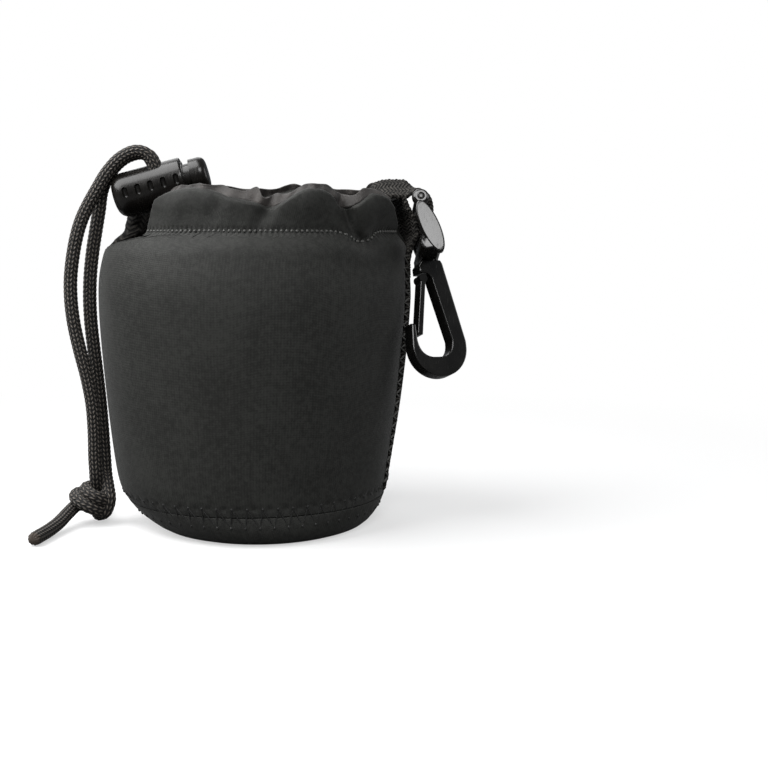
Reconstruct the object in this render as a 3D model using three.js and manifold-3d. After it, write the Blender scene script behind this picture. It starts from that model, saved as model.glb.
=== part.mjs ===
// A small drawstring lens pouch of neoprene, with a cord lock and a swivel snap hook on a side strap.
// Millimetres, +Z up. The origin is the middle of the flat underside, +X is the strap side, -Y the front.
import * as THREE from 'three';
import { mergeVertices } from 'three/addons/utils/BufferGeometryUtils.js';
import Module from 'manifold-3d';

const wasm = await Module();
wasm.setup();

// Clearances
const seat = 0.3;                // gap left between pieces that touch
const skinGap = 0.6;             // gap between curved skins, whose facets don't line up
const runningGap = 0.3;          // gap round pieces that slide or turn in a hole

// Pouch: the outside of the neoprene, as heights and half sizes
const contactRadius = 28;        // flat of the underside
const seamHeight = 8.5;          // base panel meets the side panels
const seamRadius = 38.4;
const waistHeight = 37;
const waistHalfWidth = 43;
const waistHalfDepth = 41;
const bellyHeight = 64;
const bellyHalfWidth = 45.2;
const bellyHalfDepth = 42;
const shoulderHeight = 78;
const shoulderLeft = 44;
const shoulderRight = 45.2;
const shoulderHalfDepth = 40;
const stitchHeight = 87;         // row of stitches under the cord channel
const stitchLeft = 38.6;
const stitchRight = 45;
const stitchHalfDepth = 35.5;
const collarHeight = 98.5;       // top edge of the neoprene
const collarLeft = 30.5;
const collarRight = 44;
const collarHalfDepth = 28;
const backRise = 2;              // the back edge stands higher than the front edge
const neopreneThickness = 4;
const baseFullness = 0.72;       // 1 would make the turned-up edge of the base square
const liningThickness = 0.7;
const liningDrop = 1;            // the lining ends this far under the front panel's shoulder
const leftSlitHeight = 78;       // the side seams end here, and the collar's edges run free above
const rightSlitHeight = 84;
const leftSlitGap = 9;           // from the middle to the back panel's free edge at the top
const rightSlitGap = 15;
const frontShoulder = 81.5;      // the front panel is cut in here at the left, to let the lock through
const frontShoulderTop = 85;
const frontTabGap = 23.5;        // from the middle to the front panel's free edge, over its shoulder
const frontTabTopGap = 19.2;

// Cord channel and the tape that binds the free edge at the left
const casingThickness = 0.6;
const casingRoom = 7.2;          // how far the casing stands off the neoprene
const casingLip = 1.4;           // how far the casing shows above the neoprene
const casingFullness = 0.4;      // under 1 makes the channel's section fuller
const casingStart = 30;          // degrees from the strap side
const frontCasingEnd = 132;
const backCasingEnd = 140;
const tapeWidth = 6;
const tapeThickness = 0.6;
const tapeBottom = 77;
const tapeTop = 94;

// Side strap
const strapWidth = 13;
const strapThickness = 1.3;
const strapFoot = 9.5;           // height of its lower end
const strapTop = 80;             // height where it leaves the wall for the loop
const strapLoop = [              // the loop's route, across and up from the crossbar
  [-1.6, -8.4], [1.2, -6], [3.1, -2.6], [3.5, 0.8], [2.4, 4], [-0.8, 5.8], [-5.6, 6.2],
  [-10.8, 5.9], [-14.4, 3.8], [-16, 0.2], [-16.2, -4.2],
];

// Drawcord
const cordDiameter = 4;
const cordSides = 8;
const neckRise = 4.8;            // from the row of stitches up to the cord
const neckRoom = 1.2;            // between the cord and the neoprene
const leadGap = 0.6;             // between a lead's end and the lock's barrel
const neckEnd = 145;             // degrees from the strap side, where the cord comes out of the channel
const cordSpacing = 4.4;         // between the two cords in the lock

// Knot, an overhand knot in both ends
const knotCentre = new THREE.Vector3(-48.7, -5, 6.1);
const knotHalfSize = new THREE.Vector3(6.6, 5.6, 6);

// Cord lock: a barrel with a sprung plunger
const lockCentre = new THREE.Vector3(-27, 0, 100);
const lockTilt = 15;
const lockRadius = 6.5;
const lockWall = 1;
const lockClosedEnd = -13.8;     // along the barrel, from its middle
const lockOpenEnd = 7.5;
const lockEndThickness = 3;
const lockEndRound = 4;
const lockChamfer = 0.5;
const plungerTravel = 3.5;
const plungerTip = 14.6;
const plungerFoot = 2.3;         // solid end past the cord hole
const plungerGroove = 1;         // depth of the groove under the cap
const plungerGrooveLength = 2;
const plungerDome = 2.4;
const gripCount = 5;
const gripPitch = 3.8;
const gripStart = -9.6;
const gripLength = 1.9;
const gripHeight = 3.4;
const gripDepth = 0.5;
const springWire = 0.6;
const springTurns = 3;
const springRadius = 3.6;

// Swivel snap hook on the loop of the strap
const crossbarCentre = new THREE.Vector3(48.9, -1, 93);
const crossbarRadius = 1.6;
const hookLean = 5.2;            // outward, degrees
const hookTilt = 18;             // forward, so that the nose clears the strap
const hookTwist = 22;            // about the swivel
const eyeInnerWidth = 21;
const eyeArmThickness = 2.4;
const eyeArmLength = 15.5;
const eyeArmWidth = 4.6;
const eyeArmLean = 17;
const eyeDrop = 16;              // crossbar to the underside of the eye
const eyeBarThickness = 3.4;
const eyeBarDepth = 6.4;
const eyeBarInset = 0.2;         // from the outside of the arms
const eyeBevel = 0.5;
const crossbarLand = 0.4;        // of the arm, over the crossbar
const swivelOffset = 1.5;
const postRadius = 1.9;
const headRadius = 3.2;
const headThickness = 1.5;
const postRoot = 1.5;            // of the post, down in the hook
const postLap = 0.2;             // of the post, up in its head
const hookThickness = 5;
const hookBevel = 0.6;
const hookLength = 35;
const hookBowRadius = 8.9;
const hookBowCentre = -0.9;
const saddleThickness = 5.8;
const saddleFlat = 2;
const saddleSpineRise = 2;       // the saddle's curves start this far over the bow's middle
const saddleNoseRise = 3;
const saddleEase = 0.6;
const spineThickness = 4.8;
const spineRise = 1.5;
const neckHalfWidth = 3.2;
const neckChamfer = 1;
const shoulderReach = 4.8;
const shoulderThickness = 4;
const throatReach = 1.5;         // the round between the shoulder and the spine
const throatDrop = 3;
const throatSlope = 0.8;
const noseTip = 19.4;
const noseThickness = 2;
const noseTaper = 0.4;
const gateThickness = 1.6;
const gateWidth = 4;
const gateGap = 0.5;             // between the gate's tip and the nose
const gateTip = 22.5;
const knuckleRadius = 1.3;

// Facets
const wallColumns = 22;
const wallRows = 8;              // below the front panel's shoulder
const shoulderRows = 3;
const collarRows = 3;
const liningRows = 7;
const baseSegments = 30;
const casingColumns = 18;
const casingRows = 6;
const tapeColumns = 3;
const tapeRows = 8;
const strapWallSteps = 6;
const strapSteps = 54;
const neckSteps = 36;
const leadSteps = 14;
const strandSteps = 44;
const tailSteps = 12;
const lockSegments = 24;
const springTurnSteps = 8;
const springSides = 5;

// Colours
const neopreneBlack = { color: 0x262624, roughness: 0.85, metalness: 0 };
const liningBrown = { color: 0x4a443e, roughness: 0.95, metalness: 0 };
const webbingBlack = { color: 0x171614, roughness: 0.9, metalness: 0 };
const cordBlack = { color: 0x2a2723, roughness: 0.8, metalness: 0 };
const glossBlack = { color: 0x1c1a18, roughness: 0.3, metalness: 0 };
const springSteel = { color: 0xb4b6b8, roughness: 0.3, metalness: 1 };

const radians = THREE.MathUtils.degToRad;
const pouch = new THREE.Group();

// Closed, outward-facing geometry with shared corners, from any closed three.js geometry.
function closed(geometry) {
  const bare = geometry.clone();
  bare.deleteAttribute('normal');
  bare.deleteAttribute('uv');
  const welded = mergeVertices(bare, 1e-4);
  const corners = welded.getAttribute('position');
  const index = [];
  const source = welded.index.array;
  let volume = 0;
  const a = new THREE.Vector3();
  const b = new THREE.Vector3();
  const c = new THREE.Vector3();
  for (let i = 0; i < source.length; i += 3) {
    const [p, q, r] = [source[i], source[i + 1], source[i + 2]];
    if (p === q || q === r || r === p) continue;
    index.push(p, q, r);
    a.fromBufferAttribute(corners, p);
    b.fromBufferAttribute(corners, q);
    c.fromBufferAttribute(corners, r);
    volume += a.dot(b.cross(c));
  }
  if (volume < 0) index.reverse();
  const result = new THREE.BufferGeometry();
  result.setAttribute('position', corners);
  result.setIndex(index);
  return result;
}

function toManifold(geometry) {
  const mesh = closed(geometry);
  const vertProperties = new Float32Array(mesh.getAttribute('position').array);
  const triVerts = new Uint32Array(mesh.index.array);
  return new wasm.Manifold(new wasm.Mesh({ numProp: 3, vertProperties, triVerts }));
}

function fromManifold(solid) {
  const mesh = solid.getMesh();
  const geometry = new THREE.BufferGeometry();
  geometry.setAttribute('position', new THREE.BufferAttribute(new Float32Array(mesh.vertProperties), 3));
  geometry.setIndex(new THREE.BufferAttribute(new Uint32Array(mesh.triVerts), 1));
  return geometry;
}

function join(first, ...others) {
  return fromManifold(others.reduce((solid, other) => solid.add(toManifold(other)), toManifold(first)));
}

function cut(body, ...tools) {
  return fromManifold(tools.reduce((solid, tool) => solid.subtract(toManifold(tool)), toManifold(body)));
}

function addPart(name, geometry, finish, parent = pouch) {
  const shape = closed(geometry);
  shape.computeVertexNormals();
  const mesh = new THREE.Mesh(shape, new THREE.MeshStandardMaterial(finish));
  mesh.name = name;
  parent.add(mesh);
  return mesh;
}

function boxAt(width, depth, height, x, y, z) {
  return new THREE.BoxGeometry(width, depth, height).translate(x, y, z);
}

// Round rods along Z and along Y
function rodAlongZ(radius, length, x, y, z, sides = 20) {
  return new THREE.CylinderGeometry(radius, radius, length, sides).rotateX(Math.PI / 2).translate(x, y, z);
}

function rodAlongY(radius, length, x, y, z, sides = 20) {
  return new THREE.CylinderGeometry(radius, radius, length, sides).translate(x, y, z);
}

// An outline in the XZ plane, made solid across Y, with its middle at y = 0.
function plateAcrossY(shape, width, bevel = 0) {
  const settings = { depth: width - 2 * bevel, steps: 1, curveSegments: 8, bevelEnabled: bevel > 0 };
  const edges = { bevelThickness: bevel, bevelSize: bevel, bevelOffset: -bevel, bevelSegments: 1 };
  if (bevel > 0) Object.assign(settings, edges);
  const plate = new THREE.ExtrudeGeometry(shape, settings);
  return plate.translate(0, 0, bevel - width / 2).rotateX(Math.PI / 2);
}

// A cloth solid: place(u, v, side) gives the outer face at side 0 and the inner face at side 1.
function sheetSolid(columns, rows, place) {
  const positions = [];
  const index = [];
  const across = columns + 1;
  const face = across * (rows + 1);
  for (const side of [0, 1]) {
    for (let j = 0; j <= rows; j += 1) {
      for (let i = 0; i <= columns; i += 1) positions.push(...place(i / columns, j / rows, side).toArray());
    }
  }
  const quad = (p, q, r, s) => index.push(p, q, r, p, r, s);
  for (let j = 0; j < rows; j += 1) {
    for (let i = 0; i < columns; i += 1) {
      const p = j * across + i;
      quad(p, p + 1, p + across + 1, p + across);
      quad(face + p, face + p + across, face + p + across + 1, face + p + 1);
    }
  }
  const top = rows * across;
  for (let i = 0; i < columns; i += 1) {
    quad(i, face + i, face + i + 1, i + 1);
    quad(top + i, top + i + 1, face + top + i + 1, face + top + i);
  }
  for (let j = 0; j < rows; j += 1) {
    const left = j * across;
    const right = left + columns;
    quad(left, left + across, face + left + across, face + left);
    quad(right, face + right, face + right + across, right + across);
  }
  const geometry = new THREE.BufferGeometry();
  geometry.setAttribute('position', new THREE.Float32BufferAttribute(positions, 3));
  geometry.setIndex(index);
  return geometry;
}

function tube(curve, diameter, steps, sides) {
  const round = new THREE.EllipseCurve(0, 0, diameter / 2, diameter / 2);
  const section = new THREE.Shape(round.getPoints(sides).slice(0, sides));
  return new THREE.ExtrudeGeometry(section, { steps, extrudePath: curve, bevelEnabled: false });
}

// The pouch's outside: three edge curves share their heights, so one parameter gives a level's section
const heights = [seamHeight, waistHeight, bellyHeight, shoulderHeight, stitchHeight, collarHeight];
function edgeCurve(...sizes) {
  return new THREE.SplineCurve(sizes.map((size, i) => new THREE.Vector2(size, heights[i])));
}

const leftEdge = edgeCurve(
  seamRadius, waistHalfWidth, bellyHalfWidth, shoulderLeft, stitchLeft, collarLeft,
);
const rightEdge = edgeCurve(
  seamRadius, waistHalfWidth, bellyHalfWidth, shoulderRight, stitchRight, collarRight,
);
const depthEdge = edgeCurve(
  seamRadius, waistHalfDepth, bellyHalfDepth, shoulderHalfDepth, stitchHalfDepth, collarHalfDepth,
);

// Curve parameter of a height, by halving
function levelAt(z) {
  let low = 0;
  let high = 1;
  for (let i = 0; i < 40; i += 1) {
    const middle = (low + high) / 2;
    if (rightEdge.getPoint(middle).y < z) low = middle;
    else high = middle;
  }
  return (low + high) / 2;
}

function sectionAt(z) {
  const level = levelAt(Math.min(z, collarHeight));
  const left = leftEdge.getPoint(level).x;
  const right = rightEdge.getPoint(level).x;
  const halfDepth = depthEdge.getPoint(level).x;
  return { middle: (right - left) / 2, halfWidth: (right + left) / 2, halfDepth };
}

// A point of the wall: angle from the strap side towards the front, and depth in from the outside
function wallPoint(z, angle, depth) {
  const { middle, halfWidth, halfDepth } = sectionAt(z);
  const normal = new THREE.Vector2(Math.cos(angle) / halfWidth, -Math.sin(angle) / halfDepth).normalize();
  const x = middle + halfWidth * Math.cos(angle) - depth * normal.x;
  const y = -halfDepth * Math.sin(angle) - depth * normal.y;
  return new THREE.Vector3(x, y, z);
}

// How far a panel's edge stands off the side seam at a height: none below the slit, more above it
function slitGap(z, slitHeight, slitTop, topGap) {
  return seat / 2 + topGap * THREE.MathUtils.clamp((z - slitHeight) / (slitTop - slitHeight), 0, 1);
}

function frontTabEdge(z) {
  const rise = THREE.MathUtils.clamp((z - frontShoulderTop) / (collarHeight - frontShoulderTop), 0, 1);
  const gap = THREE.MathUtils.lerp(frontTabGap, frontTabTopGap, rise);
  return slitGap(z, frontShoulder, frontShoulderTop, gap);
}

// Where a side panel starts and ends round the pouch at a height; facing is 1 at the front, -1 at the back
function panelAngles(z, facing) {
  const { halfDepth } = sectionAt(z);
  const right = slitGap(z, rightSlitHeight, collarHeight, rightSlitGap);
  const left = facing > 0 ? frontTabEdge(z) : slitGap(z, leftSlitHeight, collarHeight, leftSlitGap);
  return { from: Math.asin(right / halfDepth), to: Math.PI - Math.asin(left / halfDepth) };
}

// One half of the wall through some heights, between two depths
function wallHalf(facing, levels, outer, inner) {
  const rows = levels.length - 1;
  return sheetSolid(wallColumns, rows, (u, v, side) => {
    const z = levels[Math.round(v * rows)];
    const { from, to } = panelAngles(z, facing);
    const angle = THREE.MathUtils.lerp(from, to, u);
    return wallPoint(z, facing * angle, side === 0 ? outer : inner);
  });
}

// Heights in equal steps
function steps(bottom, top, count) {
  return Array.from({ length: count + 1 }, (_, i) => THREE.MathUtils.lerp(bottom, top, i / count));
}

// Front and back neoprene panels, from the base seam to the free edge of the collar
const backTop = collarHeight + backRise;
for (const [name, facing, top] of [['front_panel', 1, collarHeight], ['back_panel', -1, backTop]]) {
  const wall = steps(seamHeight, frontShoulder, wallRows);
  const shoulder = steps(frontShoulder, frontShoulderTop, shoulderRows).slice(1);
  const collar = steps(frontShoulderTop, top, collarRows).slice(1);
  addPart(name, wallHalf(facing, [...wall, ...shoulder, ...collar], 0, neopreneThickness), neopreneBlack);
}

// Lining bonded inside each panel
const liningOuter = neopreneThickness + skinGap;
const liningInner = liningOuter + liningThickness;
const liningTop = frontShoulder - liningDrop;
for (const [name, facing] of [['front_lining', 1], ['back_lining', -1]]) {
  const levels = steps(seamHeight, liningTop, liningRows);
  addPart(name, wallHalf(facing, levels, liningOuter, liningInner), liningBrown);
}

// Base: a round panel whose edge turns up to the seam, and its lining
function dish(bottom, flat, edge, top, thickness) {
  const outline = new THREE.Path();
  const bulge = baseFullness * (edge - flat);
  const inside = bottom + thickness;
  outline.moveTo(0, bottom);
  outline.lineTo(flat, bottom);
  outline.quadraticCurveTo(flat + bulge, bottom, edge, top);
  outline.lineTo(edge - thickness, top);
  outline.quadraticCurveTo(flat + bulge - thickness, inside, flat - thickness / 2, inside);
  outline.lineTo(0, inside);
  return new THREE.LatheGeometry(outline.getPoints(5), baseSegments).rotateX(Math.PI / 2);
}

const baseTop = seamHeight - seat;
addPart('base_panel', dish(0, contactRadius, seamRadius, baseTop, neopreneThickness), neopreneBlack);
const baseLiningEdge = seamRadius - liningOuter;
const baseLiningFlat = contactRadius - neopreneThickness;
const baseLining = dish(liningOuter, baseLiningFlat, baseLiningEdge, baseTop, liningThickness);
addPart('base_lining', baseLining, liningBrown);

// Thin casings that hold the drawcord inside the collar, arched in from the edge to the stitched line
function casing(facing, end, rim) {
  return sheetSolid(casingColumns, casingRows, (u, v, side) => {
    const z = THREE.MathUtils.lerp(stitchHeight, rim + casingLip, v);
    const angle = radians(THREE.MathUtils.lerp(casingStart, end, u));
    const arch = Math.sin(Math.PI * v) ** casingFullness;
    const depth = liningOuter + casingRoom * arch + side * casingThickness;
    return wallPoint(z, facing * angle, depth);
  });
}

addPart('front_casing', casing(1, frontCasingEnd, collarHeight), liningBrown);
addPart('back_casing', casing(-1, backCasingEnd, backTop), liningBrown);

// Tape that binds the back panel's free edge beside the cord lock
addPart('slit_binding', sheetSolid(tapeColumns, tapeRows, (u, v, side) => {
  const z = THREE.MathUtils.lerp(tapeBottom, tapeTop, v);
  const start = panelAngles(z, -1).to;
  const width = tapeWidth / sectionAt(z).halfDepth;
  return wallPoint(z, -(start - u * width), -seat - (1 - side) * tapeThickness);
}), webbingBlack);

// Side strap: up the right seam, round the crossbar of the hook, over the top and down inside the collar
const strapOffset = seat + strapThickness / 2;
const strapRoute = [];
for (let i = 0; i <= strapWallSteps; i += 1) {
  const z = THREE.MathUtils.lerp(strapFoot, strapTop, i / strapWallSteps);
  strapRoute.push(new THREE.Vector2(rightEdge.getPoint(levelAt(z)).x + strapOffset, z));
}
for (const [right, up] of strapLoop) {
  strapRoute.push(new THREE.Vector2(crossbarCentre.x + right, crossbarCentre.z + up));
}

function ribbonOutline(route, thickness, steps) {
  const curve = new THREE.SplineCurve(route);
  const outer = [];
  const inner = [];
  for (let i = 0; i <= steps; i += 1) {
    const point = curve.getPoint(i / steps);
    const along = curve.getTangent(i / steps);
    const across = new THREE.Vector2(along.y, -along.x).multiplyScalar(thickness / 2);
    outer.push(point.clone().add(across));
    inner.unshift(point.clone().sub(across));
  }
  return new THREE.Shape([...outer, ...inner]);
}

const strapOutline = ribbonOutline(strapRoute, strapThickness, strapSteps);
addPart('side_strap', plateAcrossY(strapOutline, strapWidth), webbingBlack);

// Drawcord inside the channel, once round the neck
const neckDepth = neopreneThickness + neckRoom + cordDiameter / 2;
const neckPoints = [];
for (let i = 0; i <= neckSteps; i += 1) {
  const angle = radians(THREE.MathUtils.lerp(neckEnd, -neckEnd, i / neckSteps));
  neckPoints.push(wallPoint(stitchHeight + neckRise, angle, neckDepth));
}
const neckCurve = new THREE.CatmullRomCurve3(neckPoints);
addPart('drawcord_neck', tube(neckCurve, cordDiameter, neckSteps, cordSides), cordBlack);

// The two ends of the drawcord: out of the channel, up through the lock, over and down to the knot
const lockUp = new THREE.Vector3(-Math.sin(radians(lockTilt)), 0, Math.cos(radians(lockTilt)));
const knotClearance = new THREE.SphereGeometry(1, 16, 12)
  .scale(knotHalfSize.x + seat, knotHalfSize.y + seat, knotHalfSize.z + seat)
  .translate(...knotCentre.toArray());

function cordThrough(points, steps) {
  return tube(new THREE.CatmullRomCurve3(points), cordDiameter, steps, cordSides);
}

const leadEnd = -lockRadius - leadGap;

// A point in the lock's cord hole, on the front or the back cord, at a height above the barrel's axis
function inLock(side, height) {
  return lockCentre.clone().addScaledVector(lockUp, height).setY(lockCentre.y + side * cordSpacing / 2);
}

function leadPoints(side, chosen) {
  const end = side < 0 ? 0 : 1;
  const outward = neckCurve.getTangent(end).multiplyScalar(side < 0 ? -1 : 1);
  const reaches = [seat, cordDiameter / 2];
  const start = reaches.map((reach) => neckCurve.getPoint(end).addScaledVector(outward, reach));
  const middle = chosen.map(([x, y, z]) => new THREE.Vector3(x, side * y, z));
  return [...start, ...middle, inLock(side, leadEnd)];
}

function strandPoints(side, chosen) {
  const start = [leadEnd + 2 * seat, 0, lockRadius].map((height) => inLock(side, height));
  return [...start, ...chosen.map((point) => new THREE.Vector3(...point)), knotCentre];
}

const leadRoute = [[-24.8, 8.9, 89.4], [-25.2, 6, 87.9], [-24.9, 3.6, 88.4], [-24.9, 2.4, 90.6]];
addPart('cord_front_lead', cordThrough(leadPoints(-1, leadRoute), leadSteps), cordBlack);
addPart('cord_back_lead', cordThrough(leadPoints(1, leadRoute), leadSteps), cordBlack);

const frontRoute = [
  [-30.6, -2.3, 109], [-33.6, -2.5, 109.7], [-37.8, -2.8, 107.8],
  [-41.8, -3.1, 103.6], [-44.9, -3.4, 98.6], [-47.3, -3.7, 94.4], [-49.4, -4, 90], [-51.2, -4.4, 84],
  [-52.8, -4.8, 74], [-52.9, -5.2, 67], [-52.2, -5.5, 60], [-50.6, -5.8, 52], [-48.7, -6, 44],
  [-47.4, -6.1, 36], [-47, -6.2, 28], [-47.4, -6.2, 20], [-48.2, -5.9, 12.5],
];
const backRoute = [
  [-30.2, 2.2, 108.7], [-32.8, 2.1, 109.6], [-37.4, 2, 108.2],
  [-41.6, 1.8, 104.2], [-44.2, 1.5, 98.8], [-45.2, 1.2, 92.8], [-46.2, 0.8, 87], [-47.2, 0.4, 81],
  [-48, -0.1, 74], [-48.3, -0.5, 67], [-48.1, -0.8, 60], [-47.4, -1, 52], [-46.6, -1.2, 44],
  [-45.9, -1.4, 36], [-45.4, -1.5, 28], [-45, -1.8, 20], [-45.2, -2.2, 13],
];
const strands = [['cord_front_strand', -1, frontRoute], ['cord_back_strand', 1, backRoute]];
for (const [name, side, route] of strands) {
  addPart(name, cut(cordThrough(strandPoints(side, route), strandSteps), knotClearance), cordBlack);
}

// Knot and the two cut ends that leave it
addPart('cord_knot', new THREE.SphereGeometry(1, 16, 12)
  .scale(knotHalfSize.x, knotHalfSize.y, knotHalfSize.z)
  .translate(...knotCentre.toArray()), cordBlack);

function tail(chosen) {
  const points = [knotCentre, ...chosen.map((point) => new THREE.Vector3(...point))];
  return cut(cordThrough(points, tailSteps), knotClearance);
}

const frontTail = [[-52.6, -9.4, 3.2], [-55.2, -15.6, 2.3], [-57.4, -21, 2.2], [-59, -26, 2.2]];
addPart('cord_front_tail', tail(frontTail), cordBlack);
const backTail = [[-48.4, 1.6, 3.2], [-48.2, 7, 2.3], [-48.4, 11.5, 2.2]];
addPart('cord_back_tail', tail(backTail), cordBlack);

// Cord lock, drawn along its own X axis
const lock = new THREE.Group();
lock.position.copy(lockCentre);
lock.rotation.y = -radians(lockTilt);
pouch.add(lock);

function latheAlongX(outline) {
  return new THREE.LatheGeometry(outline.getPoints(4), lockSegments).rotateZ(-Math.PI / 2);
}

const boreRadius = lockRadius - lockWall;
const boreEnd = lockClosedEnd + lockEndThickness;
const barrel = new THREE.Path();
barrel.moveTo(0, lockClosedEnd);
barrel.lineTo(lockRadius - lockEndRound, lockClosedEnd);
barrel.quadraticCurveTo(lockRadius, lockClosedEnd, lockRadius, lockClosedEnd + lockEndRound);
barrel.lineTo(lockRadius, lockOpenEnd - lockChamfer);
barrel.lineTo(lockRadius - lockChamfer, lockOpenEnd);
barrel.lineTo(boreRadius, lockOpenEnd);
barrel.lineTo(boreRadius, boreEnd);
barrel.lineTo(0, boreEnd);
const cordHoleLength = cordDiameter + 2 * runningGap;
const cordHoleWidth = cordSpacing + cordDiameter + 2 * runningGap;
const cordHole = boxAt(cordHoleLength, cordHoleWidth, 4 * lockRadius, 0, 0, 0);
const grips = [];
for (let i = 0; i < gripCount; i += 1) {
  for (const facing of [-1, 1]) {
    const x = gripStart + i * gripPitch;
    grips.push(boxAt(gripLength, 2 * gripDepth, gripHeight, x, facing * lockRadius, 0));
  }
}
addPart('lock_body', cut(latheAlongX(barrel), cordHole, ...grips), glossBlack, lock);

const plungerRadius = boreRadius - runningGap;
const plungerInner = -cordHoleLength / 2 - plungerFoot;
const plungerCap = plungerTip - plungerDome;
const grooveStart = lockOpenEnd + seat;
const plungerOutline = new THREE.Path();
plungerOutline.moveTo(0, plungerInner);
plungerOutline.lineTo(plungerRadius, plungerInner);
plungerOutline.lineTo(plungerRadius, grooveStart);
plungerOutline.lineTo(plungerRadius - plungerGroove, grooveStart);
plungerOutline.lineTo(plungerRadius - plungerGroove, grooveStart + plungerGrooveLength);
plungerOutline.lineTo(plungerRadius, grooveStart + plungerGrooveLength);
plungerOutline.lineTo(plungerRadius, plungerCap);
plungerOutline.quadraticCurveTo(plungerRadius, plungerTip, plungerRadius - plungerDome, plungerTip);
plungerOutline.lineTo(0, plungerTip);
const plungerHole = boxAt(cordHoleLength + plungerTravel + runningGap, cordHoleWidth, 4 * lockRadius,
  (plungerTravel + runningGap) / 2, 0, 0);
addPart('lock_plunger', cut(latheAlongX(plungerOutline), plungerHole), glossBlack, lock);

// Compression spring between the closed end of the barrel and the plunger
const springStart = boreEnd + seat + springWire / 2;
const springEnd = plungerInner - seat - springWire / 2;
const springPoints = [];
const springSteps = springTurnSteps * springTurns;
for (let i = 0; i <= springSteps; i += 1) {
  const angle = 2 * Math.PI * springTurns * (i / springSteps);
  const along = THREE.MathUtils.lerp(springStart, springEnd, i / springSteps);
  springPoints.push(new THREE.Vector3(along, springRadius * Math.cos(angle), springRadius * Math.sin(angle)));
}
const nextTurn = springPoints.slice(springTurnSteps);
const springGaps = nextTurn.map((point, i) => point.distanceTo(springPoints[i]) - springWire);
console.log(`lock_spring: least gap to itself ${Math.min(...springGaps).toFixed(2)} mm`);
const springCurve = new THREE.CatmullRomCurve3(springPoints);
addPart('lock_spring', tube(springCurve, springWire, springSteps, springSides), springSteel, lock);

// Snap hook: the eye hangs on the strap by its crossbar, and the hook turns in the eye
const hookGroup = new THREE.Group();
hookGroup.position.copy(crossbarCentre);
hookGroup.rotation.set(-radians(hookTilt), -radians(hookLean), 0);
pouch.add(hookGroup);

const eyeOuterWidth = eyeInnerWidth + 2 * eyeArmThickness;
const armMiddle = eyeInnerWidth / 2 + eyeArmThickness / 2;
const armOval = new THREE.Shape();
armOval.absellipse(0, 0, eyeArmWidth / 2, eyeArmLength / 2, 0, 2 * Math.PI, false, radians(eyeArmLean));
const armDrop = eyeArmLength / 2 - crossbarRadius - crossbarLand;
const armShift = armDrop * Math.tan(radians(eyeArmLean));
const eyeArm = plateAcrossY(armOval, eyeArmThickness, eyeBevel).translate(armShift, 0, -armDrop);
const eyeBar = new THREE.Shape();
const barLeft = swivelOffset - eyeBarDepth / 2;
const barRight = swivelOffset + eyeBarDepth / 2;
const barTop = -eyeDrop + eyeBarThickness;
eyeBar.moveTo(barLeft, barTop);
eyeBar.lineTo(barLeft, -eyeDrop + eyeBarThickness / 2);
eyeBar.quadraticCurveTo(barLeft, -eyeDrop, barLeft + eyeBarThickness / 2, -eyeDrop);
eyeBar.lineTo(barRight - eyeBarThickness / 2, -eyeDrop);
eyeBar.quadraticCurveTo(barRight, -eyeDrop, barRight, -eyeDrop + eyeBarThickness / 2);
eyeBar.lineTo(barRight, barTop);
const eyeSolid = join(
  rodAlongY(crossbarRadius, eyeOuterWidth - 2 * eyeBevel, 0, 0, 0),
  plateAcrossY(eyeBar, eyeOuterWidth - 2 * eyeBarInset, eyeBevel),
  eyeArm.clone().translate(0, -armMiddle, 0),
  eyeArm.clone().translate(0, armMiddle, 0),
);
const barMiddle = barTop - eyeBarThickness / 2;
const swivelHole = rodAlongZ(postRadius + runningGap, 3 * eyeBarThickness, swivelOffset, 0, barMiddle);
addPart('hook_eye', cut(eyeSolid, swivelHole), glossBlack, hookGroup);

const swivel = new THREE.Group();
swivel.position.set(swivelOffset, 0, -eyeDrop - runningGap);
swivel.rotation.z = radians(hookTwist);
hookGroup.add(swivel);

// Hook outline: spine on the right, bow at the bottom, nose and gate on the left
const bowLevel = -(hookLength - hookBowRadius);
const bowRight = hookBowCentre + hookBowRadius;
const bowLeft = hookBowCentre - hookBowRadius;
const saddleLevel = -(hookLength - saddleThickness);
const innerLeft = bowLeft + noseThickness;
const innerRight = bowRight - spineThickness;
const saddleMiddle = (innerLeft + innerRight) / 2;
const neckSpine = neckHalfWidth - spineThickness;
const hookOutline = new THREE.Shape();
hookOutline.moveTo(-neckHalfWidth, 0);
hookOutline.lineTo(-shoulderReach, -shoulderThickness / 2);
hookOutline.lineTo(-shoulderReach, -shoulderThickness);
hookOutline.lineTo(neckSpine - throatReach, -shoulderThickness);
hookOutline.quadraticCurveTo(neckSpine + throatSlope / 2, -shoulderThickness,
  neckSpine + throatSlope, -shoulderThickness - throatDrop);
hookOutline.lineTo(innerRight, bowLevel + saddleSpineRise);
hookOutline.quadraticCurveTo(innerRight, saddleLevel, saddleMiddle + saddleFlat / 2, saddleLevel);
hookOutline.lineTo(saddleMiddle - saddleFlat / 2, saddleLevel);
hookOutline.quadraticCurveTo(innerLeft, saddleLevel + saddleEase, innerLeft, bowLevel + saddleNoseRise);
hookOutline.lineTo(innerLeft, -noseTip);
hookOutline.lineTo(bowLeft + noseTaper, -noseTip);
hookOutline.lineTo(bowLeft, bowLevel);
hookOutline.absarc(hookBowCentre, bowLevel, hookBowRadius, Math.PI, 2 * Math.PI, false);
hookOutline.lineTo(bowRight, bowLevel + spineRise);
hookOutline.lineTo(neckHalfWidth, -neckChamfer);
hookOutline.lineTo(neckHalfWidth - hookBevel, 0);
const postTop = eyeBarThickness + 2 * runningGap;
const postLength = postRoot + postTop + postLap;
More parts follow.
